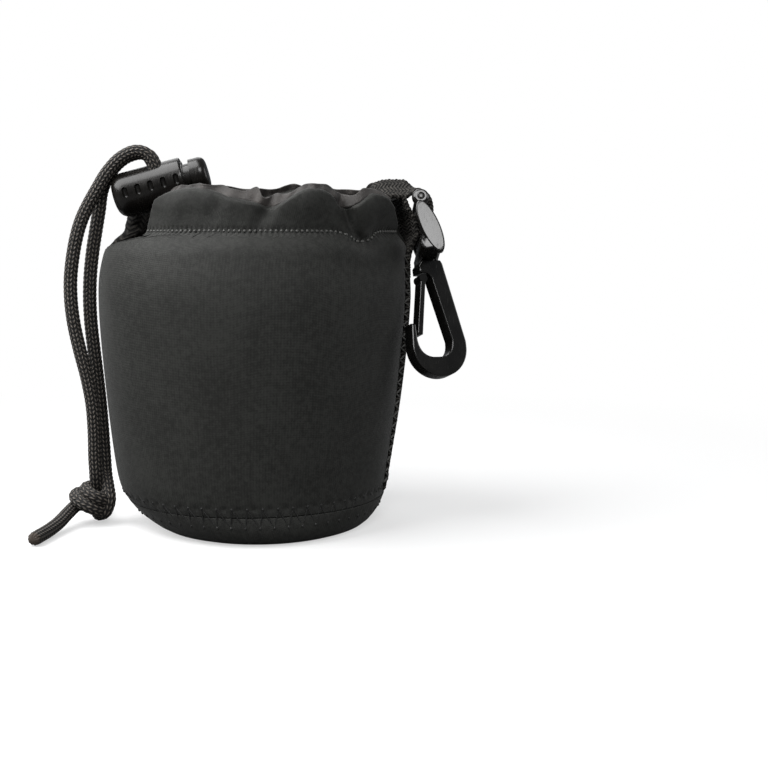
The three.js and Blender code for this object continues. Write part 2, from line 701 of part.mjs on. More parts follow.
addPart('hook_body', join(
  plateAcrossY(hookOutline, hookThickness, hookBevel),
  rodAlongZ(postRadius, postLength, 0, 0, postTop + postLap - postLength / 2),
  rodAlongZ(headRadius, headThickness, 0, 0, postTop + headThickness / 2),
), glossBlack, swivel);

// Gate: a springy tongue from the shoulder to just inside the nose
const knuckleX = -shoulderReach + knuckleRadius;
const knuckleZ = -shoulderThickness - seat - knuckleRadius;
const gateTipX = innerLeft + gateGap;
const gateOutline = new THREE.Shape();
gateOutline.moveTo(knuckleX - gateThickness / 2, knuckleZ);
gateOutline.lineTo(gateTipX, -gateTip);
gateOutline.lineTo(gateTipX + gateThickness, -gateTip);
gateOutline.lineTo(knuckleX + gateThickness / 2, knuckleZ);
addPart('hook_gate', join(
  plateAcrossY(gateOutline, gateWidth),
  rodAlongY(knuckleRadius, gateWidth, knuckleX, 0, knuckleZ, 14),
), glossBlack, swivel);

export default pouch;
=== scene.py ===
"""A drawstring lens pouch of black neoprene, dressed for its photograph. Metres, +Z up, front facing -Y."""

import functools
import math

import bmesh
import bpy
import numpy as np
from mathutils import Matrix, Vector


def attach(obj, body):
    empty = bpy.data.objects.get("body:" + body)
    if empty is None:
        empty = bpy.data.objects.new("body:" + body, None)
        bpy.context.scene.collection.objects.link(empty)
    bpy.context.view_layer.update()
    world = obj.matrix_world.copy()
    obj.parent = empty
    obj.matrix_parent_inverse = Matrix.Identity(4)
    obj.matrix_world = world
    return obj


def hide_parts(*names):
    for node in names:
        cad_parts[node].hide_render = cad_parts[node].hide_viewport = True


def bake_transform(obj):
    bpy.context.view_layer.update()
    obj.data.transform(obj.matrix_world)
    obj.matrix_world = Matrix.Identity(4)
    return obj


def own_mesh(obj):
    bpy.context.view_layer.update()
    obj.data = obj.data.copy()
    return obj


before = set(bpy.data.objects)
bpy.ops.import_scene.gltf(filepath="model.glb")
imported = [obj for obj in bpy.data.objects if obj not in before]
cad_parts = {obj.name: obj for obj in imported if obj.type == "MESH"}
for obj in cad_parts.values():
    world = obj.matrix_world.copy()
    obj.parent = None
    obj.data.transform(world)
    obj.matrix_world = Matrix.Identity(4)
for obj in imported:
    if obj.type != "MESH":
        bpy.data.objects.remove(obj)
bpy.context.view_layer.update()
scene = bpy.context.scene
mm = 0.001

# Camera
# It stands a forearm's length in front of the pouch, level with its shoulder, and looks slightly
# down and past it.
camera_place = Vector((20, -369.6, 83.7)) * mm
camera_dip = math.radians(6.6)
camera_turn = math.radians(2.93)
focal_pixels = 1232
frame_pixels = 768
camera = bpy.data.objects.new("camera", bpy.data.cameras.new("camera"))
scene.collection.objects.link(camera)
scene.camera = camera
camera.data.sensor_width = 36
camera.data.lens = camera.data.sensor_width * focal_pixels / frame_pixels
camera.data.clip_start = 0.01
camera.location = camera_place
camera.rotation_euler = (math.pi / 2 - camera_dip, 0, -camera_turn)
scene.view_settings.view_transform = "Standard"


# Floor and light
# A white tabletop with a soft light close at the upper left, one high in front, and weaker ones at the right
# and behind.
class Shade:
    """A shader socket. Arithmetic on it adds Math nodes, and node() adds any other kind."""

    def __init__(self, tree, socket=None):
        self.tree = tree
        self.socket = socket

    def node(self, kind, inputs=None, settings=None, out=0):
        made = self.tree.nodes.new("ShaderNode" + kind)
        for name, value in (settings or {}).items():
            setattr(made, name, value)
        for name, value in (inputs or {}).items():
            if isinstance(value, Shade):
                self.tree.links.new(value.socket, made.inputs[name])
            else:
                made.inputs[name].default_value = value
        return Shade(self.tree, made.outputs[out])

    def math(self, operation, *values):
        return self.node("Math", dict(enumerate(values)), {"operation": operation})

    def __add__(self, other):
        return self.math("ADD", self, other)

    def __sub__(self, other):
        return self.math("SUBTRACT", self, other)

    def __rsub__(self, other):
        return self.math("SUBTRACT", other, self)

    def __mul__(self, other):
        return self.math("MULTIPLY", self, other)

    def __mod__(self, other):
        return self.math("FLOORED_MODULO", self, other)

    __radd__ = __add__
    __rmul__ = __mul__

    def smooth(self, low, high):
        """0 below low, 1 above high, with a soft step between."""
        settings = {"interpolation_type": "SMOOTHSTEP"}
        return self.node("MapRange", {"Value": self, "From Min": low, "From Max": high}, settings)

    def between(self, low, high):
        """A colour from low, where this is 0, to high, where it is 1."""
        ends = [end if isinstance(end, Shade) else (*end, 1.0) for end in (low, high)]
        return self.node("Mix", {0: self, 6: ends[0], 7: ends[1]}, {"data_type": "RGBA"}, out=2)

    def uv(self, axis):
        """The piece's own UV map: 0 across, 1 along."""
        return self.node("SeparateXYZ", {0: self.node("UVMap")}, out=axis)

    def into(self, socket, node="Principled BSDF"):
        self.tree.links.new(self.socket, self.tree.nodes[node].inputs[socket])

    def bump(self, strength, distance):
        """Bumps of this height on the shader."""
        self.node("Bump", {"Strength": strength, "Distance": distance, "Height": self}).into("Normal")


def finish_named(name, numbers):
    """A new material, with the numbers that are the same all over it, and a Shade to build the rest on."""
    material = bpy.data.materials.new(name)
    material.use_nodes = True
    shader = material.node_tree.nodes["Principled BSDF"]
    for socket, value in numbers.items():
        shader.inputs[socket].default_value = value
    return material, Shade(material.node_tree)


white = (1.0, 1.0, 1.0, 1.0)
world = bpy.data.worlds.new("studio")
scene.world = world
world.use_nodes = True
sky = Shade(world.node_tree)
room_light = sky.node("Background", {"Color": (0.9, 0.95, 1.0, 1.0), "Strength": 0.14})
white_wall = sky.node("Background", {"Color": white, "Strength": 1.0})
to_camera = sky.node("LightPath", out="Is Camera Ray")
sky.node("MixShader", {0: to_camera, 1: room_light, 2: white_wall}).into("Surface", "World Output")

floor_size = 6.0
shadow_reach = (0.10, 0.34)      # the tabletop fades to white between these distances
bm = bmesh.new()
bmesh.ops.create_grid(bm, x_segments=2, y_segments=2, size=floor_size / 2)
floor = bpy.data.objects.new("floor", bpy.data.meshes.new("floor"))
bm.to_mesh(floor.data)
bm.free()
scene.collection.objects.link(floor)
tabletop, top = finish_named("tabletop", {"Roughness": 0.9})
lit_top = Shade(tabletop.node_tree, tabletop.node_tree.nodes["Principled BSDF"].outputs[0])
white_top = top.node("Emission", {"Color": white, "Strength": 1.0})
on_table = top.node("TexCoord", out="Object")
from_middle = top.node("VectorMath", {0: on_table}, {"operation": "LENGTH"}, out="Value")
seen = top.node("LightPath", out="Is Camera Ray")
seen.between((0.14, 0.14, 0.14), (0.85, 0.85, 0.85)).into("Base Color")
whiteness = seen * (0.55 + 0.45 * from_middle.smooth(*shadow_reach))
top.node("MixShader", {0: whiteness, 1: lit_top, 2: white_top}).into("Surface", "Material Output")
floor.data.materials.append(tabletop)

middle_height = Vector((0, 0, 55 * mm))
for name, direction, distance, size, watts in (
    ("key_light", (-0.6, -0.2, 0.8), 0.42, 0.42, 4.0),
    ("front_light", (0.12, -0.79, 0.6), 0.9, 0.34, 4.0),
    ("side_light", (0.93, 0.12, 0.35), 0.9, 0.5, 1.8),
    ("back_light", (-0.25, 0.75, 0.61), 0.9, 0.6, 1.8),
):
    lamp = bpy.data.objects.new(name, bpy.data.lights.new(name, "AREA"))
    lamp.data.shape = "SQUARE"
    lamp.data.size = size
    lamp.data.energy = watts
    lamp.location = middle_height + Vector(direction).normalized() * distance
    lamp.rotation_euler = Vector(direction).to_track_quat("Z", "Y").to_euler()
    scene.collection.objects.link(lamp)


# Drawcord
# One braided polyester cord, 4 mm thick, goes round the neck in the collar's channel. Its two ends come out
# at the left, pass up through the cord lock and hang beside the pouch, where one is knotted round the other.
cord_radius = 2 * mm
plaits_round = 12
plait_length = 1.35 * mm
plait_height = 0.24 * mm
plait_slant = 0.8
cord_sides = 4 * plaits_round
ring_step = 0.3 * mm
melted_length = 1.5 * mm


def smooth_path(points, step):
    """A curve through the points, in even steps of about that length."""
    knots = np.array([points[0], *points, points[-1]], float)
    knots[0] += points[0] - np.array(points[1])
    knots[-1] += points[-1] - np.array(points[-2])
    pace = np.sqrt(np.maximum(np.linalg.norm(np.diff(knots, axis=0), axis=1), 1e-9))
    fine = []
    for i in range(1, len(knots) - 2):
        before, start, end, after = knots[i - 1:i + 3]
        a, b, c = pace[i - 1:i + 2]
        leave = b * ((start - before) / a - (end - before) / (a + b) + (end - start) / b)
        arrive = b * ((end - start) / b - (after - start) / (b + c) + (after - end) / c)
        for t in np.linspace(0, 1, 24, endpoint=False):
            fine.append((2 * t**3 - 3 * t**2 + 1) * start + (t**3 - 2 * t**2 + t) * leave
                        + (3 * t**2 - 2 * t**3) * end + (t**3 - t**2) * arrive)
    fine = np.array([*fine, knots[-2]])
    run = np.concatenate([[0], np.cumsum(np.linalg.norm(np.diff(fine, axis=0), axis=1))])
    places = np.linspace(0, run[-1], max(2, round(run[-1] / step)) + 1)
    return np.stack([np.interp(places, run, fine[:, k]) for k in range(3)], axis=1), run[-1]


def rings_along(path):
    """Two directions square to the path at each of its points, without twist."""
    ahead = np.gradient(path, axis=0)
    ahead /= np.linalg.norm(ahead, axis=1)[:, None]
    side = np.cross(ahead[0], (0.3, 0.9, 0.1))
    frames = []
    for direction in ahead:
        side = side - direction * (side @ direction)
        side /= np.linalg.norm(side)
        frames.append((side, np.cross(direction, side)))
    return frames


def grid_piece(name, columns, rows, place, finish, uv_size=(1, 1), uv_start=0.0):
    """A piece made of a grid: its corner at (u, v), each from 0 to 1, goes to place(u, v)."""
    bm = bmesh.new()
    bmesh.ops.create_grid(bm, x_segments=columns, y_segments=rows, size=0.5)
    uv = bm.loops.layers.uv.new("UVMap")
    for face in bm.faces:
        face.smooth = True
        for loop in face.loops:
            across, along = loop.vert.co.x + 0.5, loop.vert.co.y + 0.5
            loop[uv].uv = (across * uv_size[0], along * uv_size[1] + uv_start)
    for vert in bm.verts:
        vert.co = place(vert.co.x + 0.5, vert.co.y + 0.5)
    bmesh.ops.remove_doubles(bm, verts=bm.verts, dist=1e-6)
    return piece_from(bm, name, finish)


def piece_from(bm, name, finish):
    """A finished object from a bmesh, with its material."""
    piece = bpy.data.objects.new(name, bpy.data.meshes.new(name))
    bm.to_mesh(piece.data)
    bm.free()
    piece.data.materials.append(finish)
    scene.collection.objects.link(piece)
    return piece


def plait(around, along):
    """How far the braid stands out, from 0 to 1: columns of plaits that slant left and right in turn."""
    column = int(around * plaits_round) % plaits_round
    across = around * plaits_round % 1
    lean = 1 if column % 2 else -1
    step = along / plait_length + plait_slant * lean * (across - 0.5) + 0.5 * (column // 2 % 2)
    return (math.sin(math.pi * across) * abs(math.sin(math.pi * step))) ** 0.6


def rope(name, points, finish, melted=0.0):
    """A braided cord along the points, with rounded ends; melted swells its far end a little.

    Its UV map counts the length back from that end.
    """
    path, length = smooth_path(points, ring_step)
    rings = rings_along(path)
    rows = len(path) - 1

    def place(u, v):
        row = round(v * rows)
        from_end = min(v, 1 - v) * length
        dome = math.sqrt(max(0.0, 1 - (1 - min(from_end / cord_radius, 1)) ** 2))
        swell = melted * max(0.0, 1 - (1 - v) * length / melted_length)
        lumps = 1 + 0.5 * swell * math.sin(6 * math.pi * u + 1) * math.sin(900 * v * length)
        radius = dome * (cord_radius * (1 + swell) * lumps - plait_height * (1 - plait(u, (v - 1) * length)))
        side, over = rings[row]
        angle = 2 * math.pi * u
        return Vector(path[row] + radius * (math.cos(angle) * side + math.sin(angle) * over))

    return grid_piece(name, cord_sides, rows, place, finish, (1, length), -length), path, length


def braid_finish():
    """Matt black polyester yarn, with painted shade between the plaits and a painted highlight on the crown
    of each.
    """
    numbers = {"Roughness": 0.62, "Specular IOR Level": 0.3, "Sheen Weight": 0.06}
    material, yarn = finish_named("braided_cord", numbers)
    place = yarn.node("TexCoord", out="Object")
    around = yarn.uv(0) * plaits_round
    along = yarn.uv(1)
    column = yarn.math("FLOOR", around)
    across = around % 1
    lean = (column % 2) * 2 - 1
    half_step = yarn.math("FLOOR", column * 0.5) % 2 * 0.5
    step = along * (1 / plait_length) + lean * (across - 0.5) * plait_slant + half_step
    crown = yarn.math("SINE", across * math.pi) * yarn.math("ABSOLUTE", yarn.math("SINE", step * math.pi))
    fibres = yarn.node("TexNoise", {"Vector": place, "Scale": 2600, "Detail": 3})
    # Painted highlight on each plait's crown and painted shade between the plaits, broken up by the fibres'
    # own tone.
    bright = (crown.smooth(0.3, 0.95) * (0.3 + fibres * 1.2)).smooth(0.15, 1.1)
    braid = bright.between((0.0035, 0.003, 0.0026), (0.13, 0.113, 0.096))
    melt = along.smooth(-melted_length * 1.1, -melted_length * 0.6)
    melt.between(braid, (0.05, 0.038, 0.03)).into("Base Color")
    (crown + fibres * 0.35).bump(0.6, 0.0003)
    return material


braided_cord = braid_finish()
lock_middle = Vector((-27, 0, 100))
lock_lean = math.radians(15)
lock_up = Vector((-math.sin(lock_lean), 0, math.cos(lock_lean)))
in_lock = [lock_middle + lock_up * height for height in (-6.8, 0, 6.5)]


def lead_from_channel(side):
    """Out of the channel's mouth, in under the lock and up through its hole."""
    chosen = [(-19.4, 16.5, 91.8), (-22.7, 14, 91.6), (-24.6, 9.6, 89.6), (-25.2, 6, 88.2), (-25, 3.5, 88.9)]
    through = [point + Vector((0, side * 2.2, 0)) for point in in_lock]
    return [Vector((x, side * y, z)) for x, y, z in chosen] + through


front_hang = [
    (-30.6, -2.3, 109), (-33.6, -2.5, 109.7), (-37.8, -2.8, 107.8), (-41.8, -3.1, 103.6), (-44.9, -3.4, 98.6),
    (-47.3, -3.7, 94.4), (-49.4, -4, 90), (-51.2, -4.4, 84), (-52.8, -4.8, 74), (-52.9, -5.2, 67),
    (-52.2, -5.5, 60), (-50.6, -5.8, 52), (-48.7, -6, 44), (-47.4, -6.1, 36), (-47, -6.2, 28),
    (-47, -6.3, 20), (-46.9, -5.9, 14.6),
]
back_hang = [
    (-30.2, 2.2, 108.7), (-32.8, 2.1, 109.6), (-37.4, 2, 108.2), (-41.6, 1.8, 104.2), (-44.2, 1.5, 98.8),
    (-45.2, 1.2, 92.8), (-46.2, 0.8, 87), (-47.2, 0.4, 81), (-48, -0.1, 74), (-48.3, -0.5, 67),
    (-48.1, -0.8, 60), (-47.4, -1, 52), (-46.6, -1.2, 44), (-45.9, -1.4, 36), (-45.4, -1.5, 28),
    (-45, -1.8, 20), (-44.6, -2.6, 14.5), (-43.6, -5.2, 11), (-43, -7, 7.6), (-44.2, -6.8, 4.2),
    (-46.6, -3.4, 2.6), (-47.8, 1.5, 2.2), (-48.2, 7, 2.2), (-48.4, 11.5, 2.2),
]
front_tail = [
    (-54.6, -9.5, 4.4), (-56, -16.5, 3), (-57.5, -23, 2.3), (-58.7, -28.5, 2.15), (-59.6, -33.5, 2.15),
]


def knot_turns():
    """Two turns and a bit round the other cord, from its middle outwards and down."""
    middle = Vector((-48.7, -5.2, 6.9))
    lean = math.radians(20)
    up = Vector((math.sin(lean), 0, math.cos(lean)))
    right = Vector((math.cos(lean), 0, -math.sin(lean)))
    first, last = math.radians(-260), math.radians(536)
    off_floor = cord_radius / mm + 0.15
    steps = 30
    points = []
    for i in range(steps + 1):
        share = i / steps
        angle = first + (last - first) * share
        spread = 0.8 + 3.1 * min(1, share / 0.24) + 0.9 * math.sin(math.pi * share) ** 2
        point = middle + up * (4.4 - 7.4 * share) + right * spread * math.cos(angle)
        point.y += spread * math.sin(angle)
        point.z = max(point.z, off_floor)
        points.append(point)
    return points


front_points = [*lead_from_channel(-1), *front_hang, *knot_turns(), *front_tail]
back_points = [*lead_from_channel(1), *back_hang]
front_nodes = ("cord_front_lead", "cord_front_strand", "cord_front_tail", "cord_knot")
back_nodes = ("cord_back_lead", "cord_back_strand", "cord_back_tail")
for name, side, points, nodes in (
    ("front_cord", -1, front_points, front_nodes),
    ("back_cord", 1, back_points, back_nodes),
):
    route = np.array([tuple(point) for point in points]) * mm
    cord, path, cord_length = rope(name, route, braided_cord, melted=0.12)
    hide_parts(*nodes)
    mouth = Vector((-24.8, side * 8.9, 89.4)) * mm
    in_lock_mouth = Vector((-29.36, side * 6.16, 89.4)) * mm
    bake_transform(cord)
    tuple(path[0])
    [tuple(point) for point in path]


# Neoprene panels
# Two curved panels of 4 mm foam rubber with a knitted face, sewn together at the sides and to the base.
# Above the side seams their edges run free, and the row of stitches under the gathered collar closes the
# cord channel.
neoprene = 4
seam_height = 8.5
collar_height = 98.5
wall_heights = (seam_height, 16, 37, 64, 78, 87, collar_height)
wall_left = (38.4, 41, 43.4, 45.2, 44, 38.6, 30.5)
wall_right = (38.2, 39.6, 42.6, 45.2, 45.2, 45, 44)
wall_half_depth = (38.4, 39.5, 41, 42, 40, 35.5, 28)
foot_shift = 2.8
foot_height = 11
seam_gap = 0.15


def through(values):
    """A smooth run of numbers through the values."""
    ends = np.array([values[0], *values, values[-1]], float)
    t = np.linspace(0, 1, 60, endpoint=False)
    runs = []
    for a, b, c, d in zip(ends, ends[1:], ends[2:], ends[3:]):
        square, cube = a - 2.5 * b + 2 * c - d / 2, 1.5 * (b - c) + (d - a) / 2
        runs.append(b + (c - a) / 2 * t + square * t**2 + cube * t**3)
    return np.concatenate([*runs, [values[-1]]])


wall_runs = [through(values) for values in (wall_heights, wall_left, wall_right, wall_half_depth)]


@functools.cache
def section(z):
    """Middle, half width and half depth of the pouch at a height."""
    left, right, half_depth = (float(np.interp(z, wall_runs[0], run)) for run in wall_runs[1:])
    return (right - left) / 2, (right + left) / 2, half_depth


def foot_lean(z):
    """The soft pouch stands a little askew, with its foot towards the strap."""
    return foot_shift * (1 - clamp(z / foot_height)) ** 1.3


def wall_point(z, angle, depth):
    """A point of the wall: the angle goes from the strap side towards the front, and the depth inwards."""
    middle, half_width, half_depth = section(z)
    normal = Vector((math.cos(angle) / half_width, -math.sin(angle) / half_depth)).normalized()
    x = middle + half_width * math.cos(angle) - depth * normal.x + foot_lean(z)
    return Vector((x, -half_depth * math.sin(angle) - depth * normal.y, z)) * mm


def clamp(value, low=0.0, high=1.0):
    return min(max(value, low), high)


def ramp(value, low, high):
    """0 at low, 1 at high, with a soft step between."""
    t = clamp((value - low) / (high - low))
    return t * t * (3 - 2 * t)


def bell(value, middle, width):
    return math.exp(-(((value - middle) / width) ** 2))


def free_edge(z, start, end, gap):
    """How far a panel's free edge stands off the side seam."""
    return seam_gap + gap * clamp((z - start) / (end - start))


@functools.cache
def panel_ends(z, facing):
    """The angles at which a panel starts, at the strap, and ends, at the cord lock."""
    half_depth = section(z)[2]
    if facing > 0:
        right = seam_gap + 12.5 * ramp(z, 79, 87)
        left = free_edge(z, 81.5, 85, 23.5 - 4.3 * clamp((z - 85) / 13.5))
    else:
        right = free_edge(z, 82, 96, 13)
        left = free_edge(z, 78, collar_height, 9)
    return math.asin(right / half_depth), math.pi - math.asin(left / half_depth)


def crowd(t, strength):
    """The same range with its steps set closer at both ends."""
    return t - strength * math.sin(2 * math.pi * t) / (2 * math.pi)


def rounded(distance, radius):
    """Profile of a rounded edge: 0 at the edge, 1 from the radius inwards."""
    return math.sqrt(1 - (1 - clamp(distance / radius)) ** 2)


def shell_piece(name, columns, rows, place, finish, uv_size):
    """A closed sheet whose two faces meet at its edges: place(u, v, face), face 1 outside and -1 inside."""
    def either(u, v):
        return place(u, 2 * v, 1) if v <= 0.5 else place(u, 2 - 2 * v, -1)

    return grid_piece(name, columns, 2 * rows, either, finish, uv_size)


# Share of the way round a panel, from the strap to the lock, and the height of its gathered top edge there
front_rim = (
    (0, 88.4), (0.02, 89.6), (0.05, 91.2), (0.1, 94.2), (0.15, 96.3), (0.2, 97.1), (0.222, 96.7),
    (0.25, 95.4), (0.272, 94), (0.295, 92.9), (0.31, 93.2), (0.34, 95.3), (0.365, 96.8), (0.4, 97.9),
    (0.45, 98.1), (0.47, 97.6), (0.5, 96), (0.53, 93.9), (0.55, 93.1), (0.57, 93), (0.6, 94), (0.65, 94.8),
    (0.7, 95.6), (0.75, 96.8), (0.8, 98), (0.85, 98.3), (0.9, 98.1), (0.945, 97.5), (0.98, 96.2), (1, 95),
)
back_rim = (
    (0, 92), (0.05, 97.6), (0.12, 99.6), (0.2, 98.4), (0.27, 97.2), (0.34, 99.8), (0.42, 100.4), (0.5, 98.6),
    (0.57, 97.4), (0.65, 99.8), (0.74, 100.3), (0.82, 98.7), (0.9, 99.6), (0.96, 99.2), (1, 96.5),
)
# Gathers of the collar: where each lies, its reach to the right and to the left, its depth, and how far it
# has moved along the row of stitches
front_gathers = (
    (0.3, 0.011, 0.05, 3.8, -0.062), (0.56, 0.028, 0.028, 1.7, 0.02), (0.73, 0.03, 0.03, 0.5, 0.02),
    (0.15, 0.06, 0.06, -0.9, 0), (0.44, 0.05, 0.05, -0.8, 0), (0.87, 0.05, 0.05, -0.6, 0),
)
back_gathers = (
    (0.26, 0.02, 0.04, 2.4, 0.02), (0.57, 0.04, 0.03, 2.2, -0.02), (0.82, 0.03, 0.03, 1.6, 0),
    (0.42, 0.05, 0.05, -0.7, 0), (0.7, 0.05, 0.05, -0.7, 0),
)
stitch_height = 86.5
stitch_dip = (0.238, 0.055, 2.9)      # the row is drawn down under the deepest gather
stitch_pitch = 2.1
stitch_depth = 0.55
collar_swell = 6.4      # the cord and its channel push the collar out
bulge_under_stitches = 0.5


@functools.cache
def rim_height(u, rim):
    """The top edge as a smooth line through its points."""
    shares, heights = zip(*rim)
    near = [float(np.interp(clamp(u + step), shares, heights)) for step in (-0.012, -0.006, 0, 0.006, 0.012)]
    return sum(near) / len(near)


def stitch_line(u, facing):
    dip = stitch_dip[2] * bell(u, stitch_dip[0], stitch_dip[1]) if facing > 0 else 0
    return stitch_height - dip


def gathered(u, z, facing):
    """How far the gathers, the cord in its channel and the row of stitches push the face in at a place."""
    gathers = front_gathers if facing > 0 else back_gathers
    above = z - stitch_line(u, facing)
    push = 0.0
    for middle, right, left, deep, drift in gathers:
        middle += drift * (1 - clamp(above / 8))
        push += deep * bell(u, middle, right if u < middle else left) * ramp(above, -3, 8)
    push -= collar_swell * ramp(above, -1, 12)
    push -= bulge_under_stitches * bell(above, -4, 3)
    return push + stitch_depth * bell(above, 0, 1.1)


def stitch_dimple(u, z, facing, arc):
    phase = u * arc / stitch_pitch % 1 - 0.5
    return stitch_depth * bell(phase, 0, 0.22) * bell(z - stitch_line(u, facing), -0.25, 0.8)


zigzags = 58
zigzag_high = 11.0
zigzag_low = 5.7
prick_depth = 0.4


def seam_dimple(angle, z, height, start):
    """The pricks of the base seam's zigzag, start of a pitch round from the strap."""
    phase = (angle * zigzags / (2 * math.pi) + start) % 1 - 0.5
    return prick_depth * bell(phase, 0, 0.17) * bell(z, height, 0.75)


def fit(piece, body, slot, *nodes):
    """The piece moves with a body and stands for nodes. Its slot is not used."""
    if nodes:
        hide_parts(*nodes)
    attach(piece, body)


panel_arc = 120
rim_round = 1.1
seam_round = 0.08
side_round = 0.6
free_edge_round = 0.5      # added where the edge runs free above the side seam


def panel(name, facing, rim, finish):
    """The front (facing 1) or back (facing -1) panel, with its gathers and the dimples of its stitches."""
    def place(u, v, face):
        u = crowd(1 - u if facing > 0 else u, 0.4)
        top = rim_height(u, rim)
        z = round(seam_height + (top - seam_height) * crowd(v, 0.8), 2)
        start, end = panel_ends(z, facing)
        angle = start + (end - start) * u
        radius = section(z)[2]
        arc = radius * (end - start)
        above, below = panel_ends(round(z + 0.2, 2), facing), panel_ends(round(z - 0.2, 2), facing)
        slopes = [(high - low) * radius / 0.4 for high, low in zip(above, below)]
        side = side_round + free_edge_round * ramp(z, 80, 84)
        edge = min(
            rounded(u * arc / math.hypot(1, slopes[0]), side),
            rounded((1 - u) * arc / math.hypot(1, slopes[1]), side),
            rounded(top - z, rim_round),
            rounded(z - seam_height, seam_round),
        )
        depth = neoprene / 2 * (1 - face * edge) + gathered(u, z, facing)
        if face > 0:
            depth += stitch_dimple(u, z, facing, panel_arc)
            depth += seam_dimple(facing * angle, z, zigzag_high, 0.5)
        return wall_point(z, facing * angle, depth)

    uv_size = (panel_arc * mm, 2 * (collar_height - seam_height) * mm)
    fit(shell_piece(name + "_knit", 320, 90, place, finish, uv_size), "pouch", "neoprene", name)


def knit_finish():
    """Nylon jersey bonded to foam rubber: fine columns of stitches, soft sheen, faint cloudy wear."""
    wale_pitch, course_pitch = 0.55 * mm, 0.42 * mm
    numbers = {"Roughness": 0.66, "Specular IOR Level": 0.22, "Sheen Weight": 0.08, "Sheen Roughness": 0.35}
    material, knit = finish_named("neoprene_knit", numbers)
    place = knit.node("TexCoord", out="Object")
    wale = knit.math("SINE", knit.uv(0) * (2 * math.pi / wale_pitch))
    course = knit.math("SINE", knit.uv(1) * (2 * math.pi / course_pitch) + knit.math("ABSOLUTE", wale) * 2.2)
    cloud = knit.node("TexNoise", {"Vector": place, "Scale": 70, "Detail": 4})
    speck = knit.node("TexNoise", {"Vector": place, "Scale": 700, "Detail": 2})
    fuzz = knit.node("TexNoise", {"Vector": place, "Scale": 2400, "Detail": 3})
    light = (cloud * 0.3 + speck * 0.4 + fuzz * 0.3 + course * 0.04 + wale * 0.03).smooth(0.36, 0.64)
    light.between((0.0125, 0.0127, 0.0115), (0.026, 0.0265, 0.0242)).into("Base Color")
    (wale * 0.3 + course * 0.25 + fuzz * 0.8 + speck * 0.6).bump(0.3, 0.00012)
    return material


neoprene_knit = knit_finish()
panel("front_panel", 1, front_rim, neoprene_knit)
panel("back_panel", -1, back_rim, neoprene_knit)


# Base
# A round panel of the same neoprene, turned up at its edge and sewn to the side panels with a zigzag stitch
# that lies flat across the seam.
base_edge = (
    (0, 0), (10, 0), (20, 0), (26.5, 0), (29, 0.12), (30.9, 0.7), (32.6, 1.75), (34.3, 3.2), (35.9, 4.8),
    (37.2, 6.5), (37.9, 7.6), (38.35, 8.3), (38.42, 8.46), (38.2, 8.49), (36.4, 8.48), (35.2, 8.38),
    (34.6, 8.1), (34.3, 7.6), (33.2, 6.2), (31.6, 5.1), (29.4, 4.4), (26.5, 4.05), (18, 4), (9, 4), (0, 4),
)
base_outside = base_edge[:12]


def turned(outline, steps):
    """A bmesh made by spinning an outline of radii and heights once round the Z axis."""
    bm = bmesh.new()
    verts = [bm.verts.new((radius * mm, 0, height * mm)) for radius, height in outline]
    edges = [bm.edges.new(pair) for pair in zip(verts, verts[1:])]
    bmesh.ops.spin(bm, geom=verts + edges, cent=(0, 0, 0), axis=(0, 0, 1), angle=2 * math.pi, steps=steps,
                   use_merge=True)
    bmesh.ops.remove_doubles(bm, verts=bm.verts, dist=1e-6)
    bmesh.ops.recalc_face_normals(bm, faces=bm.faces)
    for face in bm.faces:
        face.smooth = True
    return bm


def flat_uv(bm):
    """A UV map seen straight from above."""
    uv = bm.loops.layers.uv.new("UVMap")
    for face in bm.faces:
        for loop in face.loops:
            loop[uv].uv = loop.vert.co.xy


def stitch(bm, start, end, thickness):
    """One visible stitch: a little spindle of thread from start to end."""
    run = end - start
    shape = Matrix.Diagonal((thickness / 2, thickness / 2, run.length / 2, 1))
    place = Matrix.Translation((start + end) / 2) @ run.to_track_quat("Z", "Y").to_matrix().to_4x4() @ shape
    bmesh.ops.create_uvsphere(bm, u_segments=8, v_segments=6, radius=1, matrix=place)


def sewn(bm, name, thread):
    """The stitches in a bmesh, as one piece of thread on the pouch."""
    for face in bm.faces:
        face.smooth = True
    fit(piece_from(bm, name, thread), "pouch", "cord")


def thread_finish(name, low, high):
    """Spun polyester sewing thread: twisted, with a dull shine on each stitch."""
    material, thread = finish_named(name, {"Roughness": 0.55})
    place = thread.node("TexCoord", out="Object")
    twist = thread.node("TexWave", {"Vector": place, "Scale": 900, "Distortion": 2.5, "Detail": 2})
    twist.between(low, high).into("Base Color")
    twist.bump(0.5, 0.0001)
    return material


sewing_thread = thread_finish("sewing_thread", (0.02, 0.02, 0.019), (0.1, 0.099, 0.093))
seam_thread = thread_finish("seam_thread", (0.002, 0.002, 0.002), (0.008, 0.008, 0.0075))
foot_reach = 0.17      # the soft base spreads to the front and back under the weight
bm = turned(base_edge, 348)
bm.normal_update()
flat_uv(bm)
for vert in bm.verts:
    z = vert.co.z / mm
    if vert.normal.xy.length > 0.3:
        prick = seam_dimple(math.atan2(-vert.co.y, vert.co.x), z, zigzag_low, 0) * mm
        vert.co.xy -= vert.normal.xy.normalized() * prick
    vert.co.y *= 1 + foot_reach * (1 - clamp(z / seam_height))
    vert.co.x += foot_lean(z) * mm
fit(piece_from(bm, "base_knit", neoprene_knit), "pouch", "neoprene", "base_panel")

